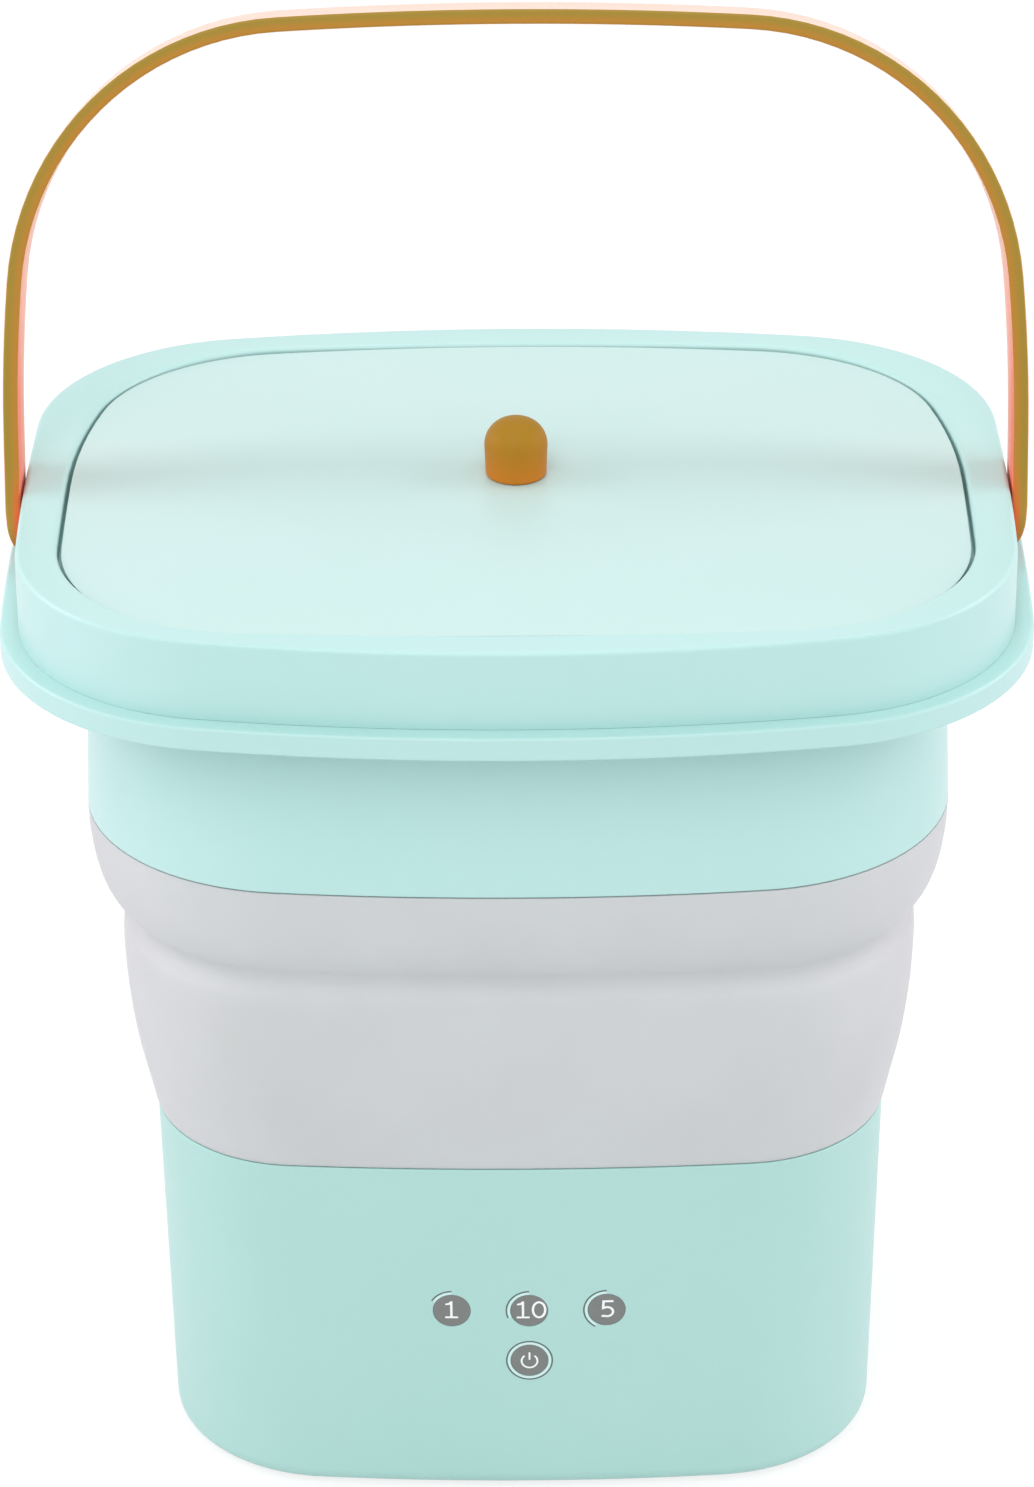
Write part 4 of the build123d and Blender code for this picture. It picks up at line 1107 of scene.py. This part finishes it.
def makeKnob():
    sizes = knobSizes
    low, radius, lowRound = sizes["low"], sizes["radius"], sizes["lowRound"]
    lowRadius, straight, flare = sizes["lowRadius"], sizes["straight"], sizes["flare"]
    under, overFoot, underDome = sizes["holds"]
    line = [(sizes["screwRadius"], low), (lowRadius - lowRound - under, low)]
    for step in range(1, 7):
        turn = step / 6 * pi / 2
        line.append((lowRadius - lowRound + lowRound * sin(turn), low + lowRound - lowRound * cos(turn)))
    line.append((lowRadius + flare, low + lowRound + overFoot))
    line.append((radius - flare, low + straight - underDome))
    for step in range(17):
        turn = step / 16 * pi / 2
        reach = max(radius * max(cos(turn), 0.0) ** sizes["shoulder"], sizes["tip"])
        line.append((reach, low + straight + sizes["dome"] * sin(turn) ** sizes["shoulder"]))
    piece = turnedPiece("lidKnob", line, steps=96)
    start, end = (0, 0, low - sizes["cutBelow"]), (0, 0, sizes["screwTop"])
    cutOut(piece, [cuttingBar(start, end, sizes["screwRadius"], 32)])
    return finishPiece(piece, "knobTan", "lid", ["lid_knob"])


makeLid()
makeKnob()
print("lid and knob made")


# the carrying handle, one flat strap
strapSizes = {
    "pivot": 270.0,
    "outer": 137.15,
    "thick": 4.1,
    "width": 19.0,
    "edge": 0.7,
    "edgeSteps": 5,
    "edgeHold": 0.4,
    "legRise": 25.0,
    "lean": 15.0,
    "arch": bothHalves(137.15, 112.7, 1110.0, 444.0, 77.2),
    "legSteps": 6,
    "footDrop": 8.0,
    "footTurn": 5.0,
    "footTuck": 0.97,
    "footSteps": 12,
    "pinRadius": 3.05,
    "pinDepth": 2.8,
    "cutInside": 4.0,
    "narrowFacing": 0.6,
    "footFacing": 0.7,
}


def makeStrap():
    sizes = strapSizes
    thick, halfWidth, edge = sizes["thick"], sizes["width"] / 2, sizes["edge"]
    lean = radians(sizes["lean"])
    up = Vector((0, sin(lean), cos(lean)))
    across = Vector((0, -cos(lean), sin(lean)))
    origin = Vector((0, 0, sizes["pivot"]))
    # how deep under the outer face, and how far in from the full width
    turns = [step / sizes["edgeSteps"] * pi / 2 for step in range(sizes["edgeSteps"] + 1)]
    levels = [(edge * (1 - cos(turn)), edge * (1 - sin(turn))) for turn in turns]
    hold = edge + sizes["edgeHold"]
    levels += [(hold, 0.0), (thick - hold, 0.0)] + [(thick - depth, inset) for depth, inset in reversed(levels)]

    # the legs' x: near the foot the outer face turns in towards the inner one
    def legAt(depth, rise):
        share = min(max((sizes["footTurn"] - rise) / (sizes["footTurn"] + sizes["footDrop"]), 0.0), 1.0)
        return sizes["outer"] - depth - (thick - depth) * (1 - sqrt(1 - (sizes["footTuck"] * share) ** 2))

    # places along the strap: x, rise, and half the width there
    def pathAt(depth, inset):
        foot = halfWidth - inset
        path = []
        for step in range(sizes["footSteps"] + 1):
            turn = (1 - step / sizes["footSteps"]) * pi / 2
            rise = (inset - sizes["footDrop"]) * sin(turn)
            path.append((legAt(depth, rise), rise, foot * cos(turn)))
        for step in range(1, sizes["legSteps"]):
            rise = sizes["legRise"] * step / sizes["legSteps"]
            path.append((legAt(depth, rise), rise, foot))
        ring = ringPoints(setIn(sizes["arch"], depth))
        arch = [(x, sizes["legRise"] + y, foot) for x, y in ring[: len(ring) // 2 + 1]]
        return path + arch + [(-x, rise, wide) for x, rise, wide in reversed(path)]

    paths = [pathAt(depth, inset) for depth, inset in levels]
    vertices = []
    for side in (1, -1):
        for path in paths[::side]:
            for x, rise, wide in path:
                vertices.append((origin + Vector((x, 0, 0)) + up * rise + across * wide * side) * mm)
    faces = skinFaces(2 * len(paths), len(paths[0]), meet=True, around=False)
    piece = cleanMesh(newPiece("handleStrap", vertices, faces), sharp=50.0)
    inner = sizes["outer"] - thick
    near, far = inner - sizes["cutInside"], inner + sizes["pinDepth"]
    cutOut(piece, sideBars(near, far, sizes["pivot"], sizes["pinRadius"]))
    finishPiece(piece, "strapBlush", "handle", ["handle_strap"])
    # the narrow faces and the undersides of the feet are tan
    piece.data.materials.append(materials["strapTan"])
    for face in piece.data.polygons:
        place = Vector(face.center) / mm - origin
        narrow = abs(place.dot(across)) > halfWidth - edge
        narrow = narrow and abs(Vector(face.normal).dot(across)) > sizes["narrowFacing"]
        if narrow or (place.dot(up) < 0 and abs(face.normal.x) < sizes["footFacing"]):
            face.material_index = 1
    measureStrap(piece, origin, up, across)
    return piece


# the strap's own measures, which its finishes follow
def measureStrap(piece, origin, up, across):
    sizes = strapSizes
    ring = ringPoints(sizes["arch"])
    outer = [Vector((x, sizes["legRise"] + y)) for x, y in ring[: len(ring) // 2 + 1]]
    lines = [(start, end) for start, end in zip(outer, outer[1:]) if start != end]
    shares = {"inwardShare": [], "acrossShare": [], "riseShare": []}
    for vertex in piece.data.vertices:
        place = vertex.co / mm - origin
        spot = Vector((place.x, place.dot(up)))
        if spot.y < sizes["legRise"]:
            depth = sizes["outer"] - abs(spot.x)
        else:
            depth = min((intersect_point_line(spot, *line)[0] - spot).length for line in lines)
        shares["inwardShare"].append(depth / sizes["thick"])
        shares["acrossShare"].append(0.5 - place.dot(across) / sizes["width"])
        shares["riseShare"].append(spot.y / (sizes["legRise"] + sizes["arch"][1]))
    for label, values in shares.items():
        layer = piece.data.attributes.new(label, "FLOAT", "POINT")
        layer.data.foreach_set("value", values)


makeStrap()
print("handle made")


# floor, light and camera; lamps are aimed at a height in the middle of the part, in metres
studio = {
    "floorSize": 8.0,
    "floorTone": (236, 238, 238),
    "floorShare": 0.3,
    "floorGlow": 0.79,
    "worldLight": 0.6,
    "topLamp": {"energy": 3.2, "size": 0.3, "distance": 1.7, "lean": 13.4, "aim": 0.27},
    "frontLamp": {"energy": 24.0, "size": 1.5, "place": (-0.2, -1.7, 2.0), "aim": 0.16},
    "leftLamp": {"energy": 19.0, "size": 1.3, "place": (-2.1, 0.3, 1.0), "aim": 0.16},
    "rightLamp": {"energy": 19.5, "size": 1.3, "place": (2.1, 0.3, 1.0), "aim": 0.16},
    "sideTint": (1.0, 0.86, 0.93),
}


# 1 for rays from the camera, from gloss and through glass, 0 for the light on the object
def seenDirectly(tree):
    path = tree.nodes.new("ShaderNodeLightPath").outputs
    first = mathOf(tree, "MAXIMUM", path["Is Camera Ray"], path["Is Glossy Ray"])
    return mathOf(tree, "MAXIMUM", first, path["Is Transmission Ray"])


# one shader for the light on the object and another where it is seen directly
def mixSeen(owner, output, lit, shown):
    tree = owner.node_tree
    mix = addNode(tree, "ShaderNodeMixShader", i0=seenDirectly(tree), i1=lit.outputs[0], i2=shown.outputs[0])
    tree.links.new(mix.outputs[0], tree.nodes.new(output).inputs["Surface"])


def makeFloor():
    half = studio["floorSize"] / 2
    corners = [(-half, -half, 0), (half, -half, 0), (half, half, 0), (-half, half, 0)]
    floor = newPiece("floor", corners, [(0, 1, 2, 3)])
    material = bpy.data.materials.new("paleFloor")
    material.use_nodes = True
    tree = material.node_tree
    tree.nodes.clear()
    colour = tone(*studio["floorTone"])
    full = addNode(tree, "ShaderNodeBsdfDiffuse", Color=colour)
    pale = addNode(tree, "ShaderNodeBsdfDiffuse", Color=tuple(v * studio["floorShare"] for v in colour))
    glow = addNode(tree, "ShaderNodeEmission", Color=white, Strength=studio["floorGlow"])
    together = addNode(tree, "ShaderNodeAddShader", i0=pale.outputs[0], i1=glow.outputs[0])
    mixSeen(material, "ShaderNodeOutputMaterial", full, together)
    floor.data.materials.append(material)


def makeWorld():
    world = bpy.data.worlds.new("studio")
    scene.world = world
    world.use_nodes = True
    tree = world.node_tree
    tree.nodes.clear()
    light = addNode(tree, "ShaderNodeBackground", Color=white, Strength=studio["worldLight"])
    shown = addNode(tree, "ShaderNodeBackground", Color=white, Strength=1.0)
    mixSeen(world, "ShaderNodeOutputWorld", light, shown)


def addLamp(name, place, tint=(1.0, 1.0, 1.0)):
    sizes = studio[name]
    lamp = bpy.data.lights.new(name, "AREA")
    lamp.shape = "SQUARE"
    lamp.size = sizes["size"]
    lamp.energy = sizes["energy"]
    lamp.color = tint
    holder = bpy.data.objects.new(name, lamp)
    scene.collection.objects.link(holder)
    holder.location = place
    aim = Vector((0, 0, sizes["aim"])) - Vector(place)
    holder.rotation_euler = aim.to_track_quat("-Z", "Y").to_euler()


makeFloor()
makeWorld()
top = studio["topLamp"]
lean = radians(top["lean"])
addLamp("topLamp", Vector((0, sin(lean), cos(lean))) * top["distance"] + Vector((0, 0, top["aim"])))
addLamp("frontLamp", studio["frontLamp"]["place"])
for name in ("leftLamp", "rightLamp"):
    addLamp(name, studio[name]["place"], studio["sideTint"])

view = {
    "place": (5.33, -1379.66, 926.4),
    "pitch": 27.734,
    "turn": 0.234,
    "roll": -0.423,
    "lens": 136.87,
    "frame": 36.0,
    "clipEnd": 20.0,  # metres
}


def makeCamera():
    camera = bpy.data.cameras.new("camera")
    camera.lens = view["lens"]
    camera.sensor_width = view["frame"]
    camera.sensor_fit = "AUTO"
    camera.clip_end = view["clipEnd"]
    holder = bpy.data.objects.new("camera", camera)
    scene.collection.objects.link(holder)
    turn = Matrix.Rotation(radians(view["turn"]), 4, "Z")
    tilt = Matrix.Rotation(radians(90 - view["pitch"]), 4, "X")
    roll = Matrix.Rotation(radians(view["roll"]), 4, "Z")
    holder.matrix_world = Matrix.Translation(Vector(view["place"]) * mm) @ turn @ tilt @ roll
    scene.camera = holder


makeCamera()
scene.view_settings.view_transform = "Standard"
print("floor, light and camera made")
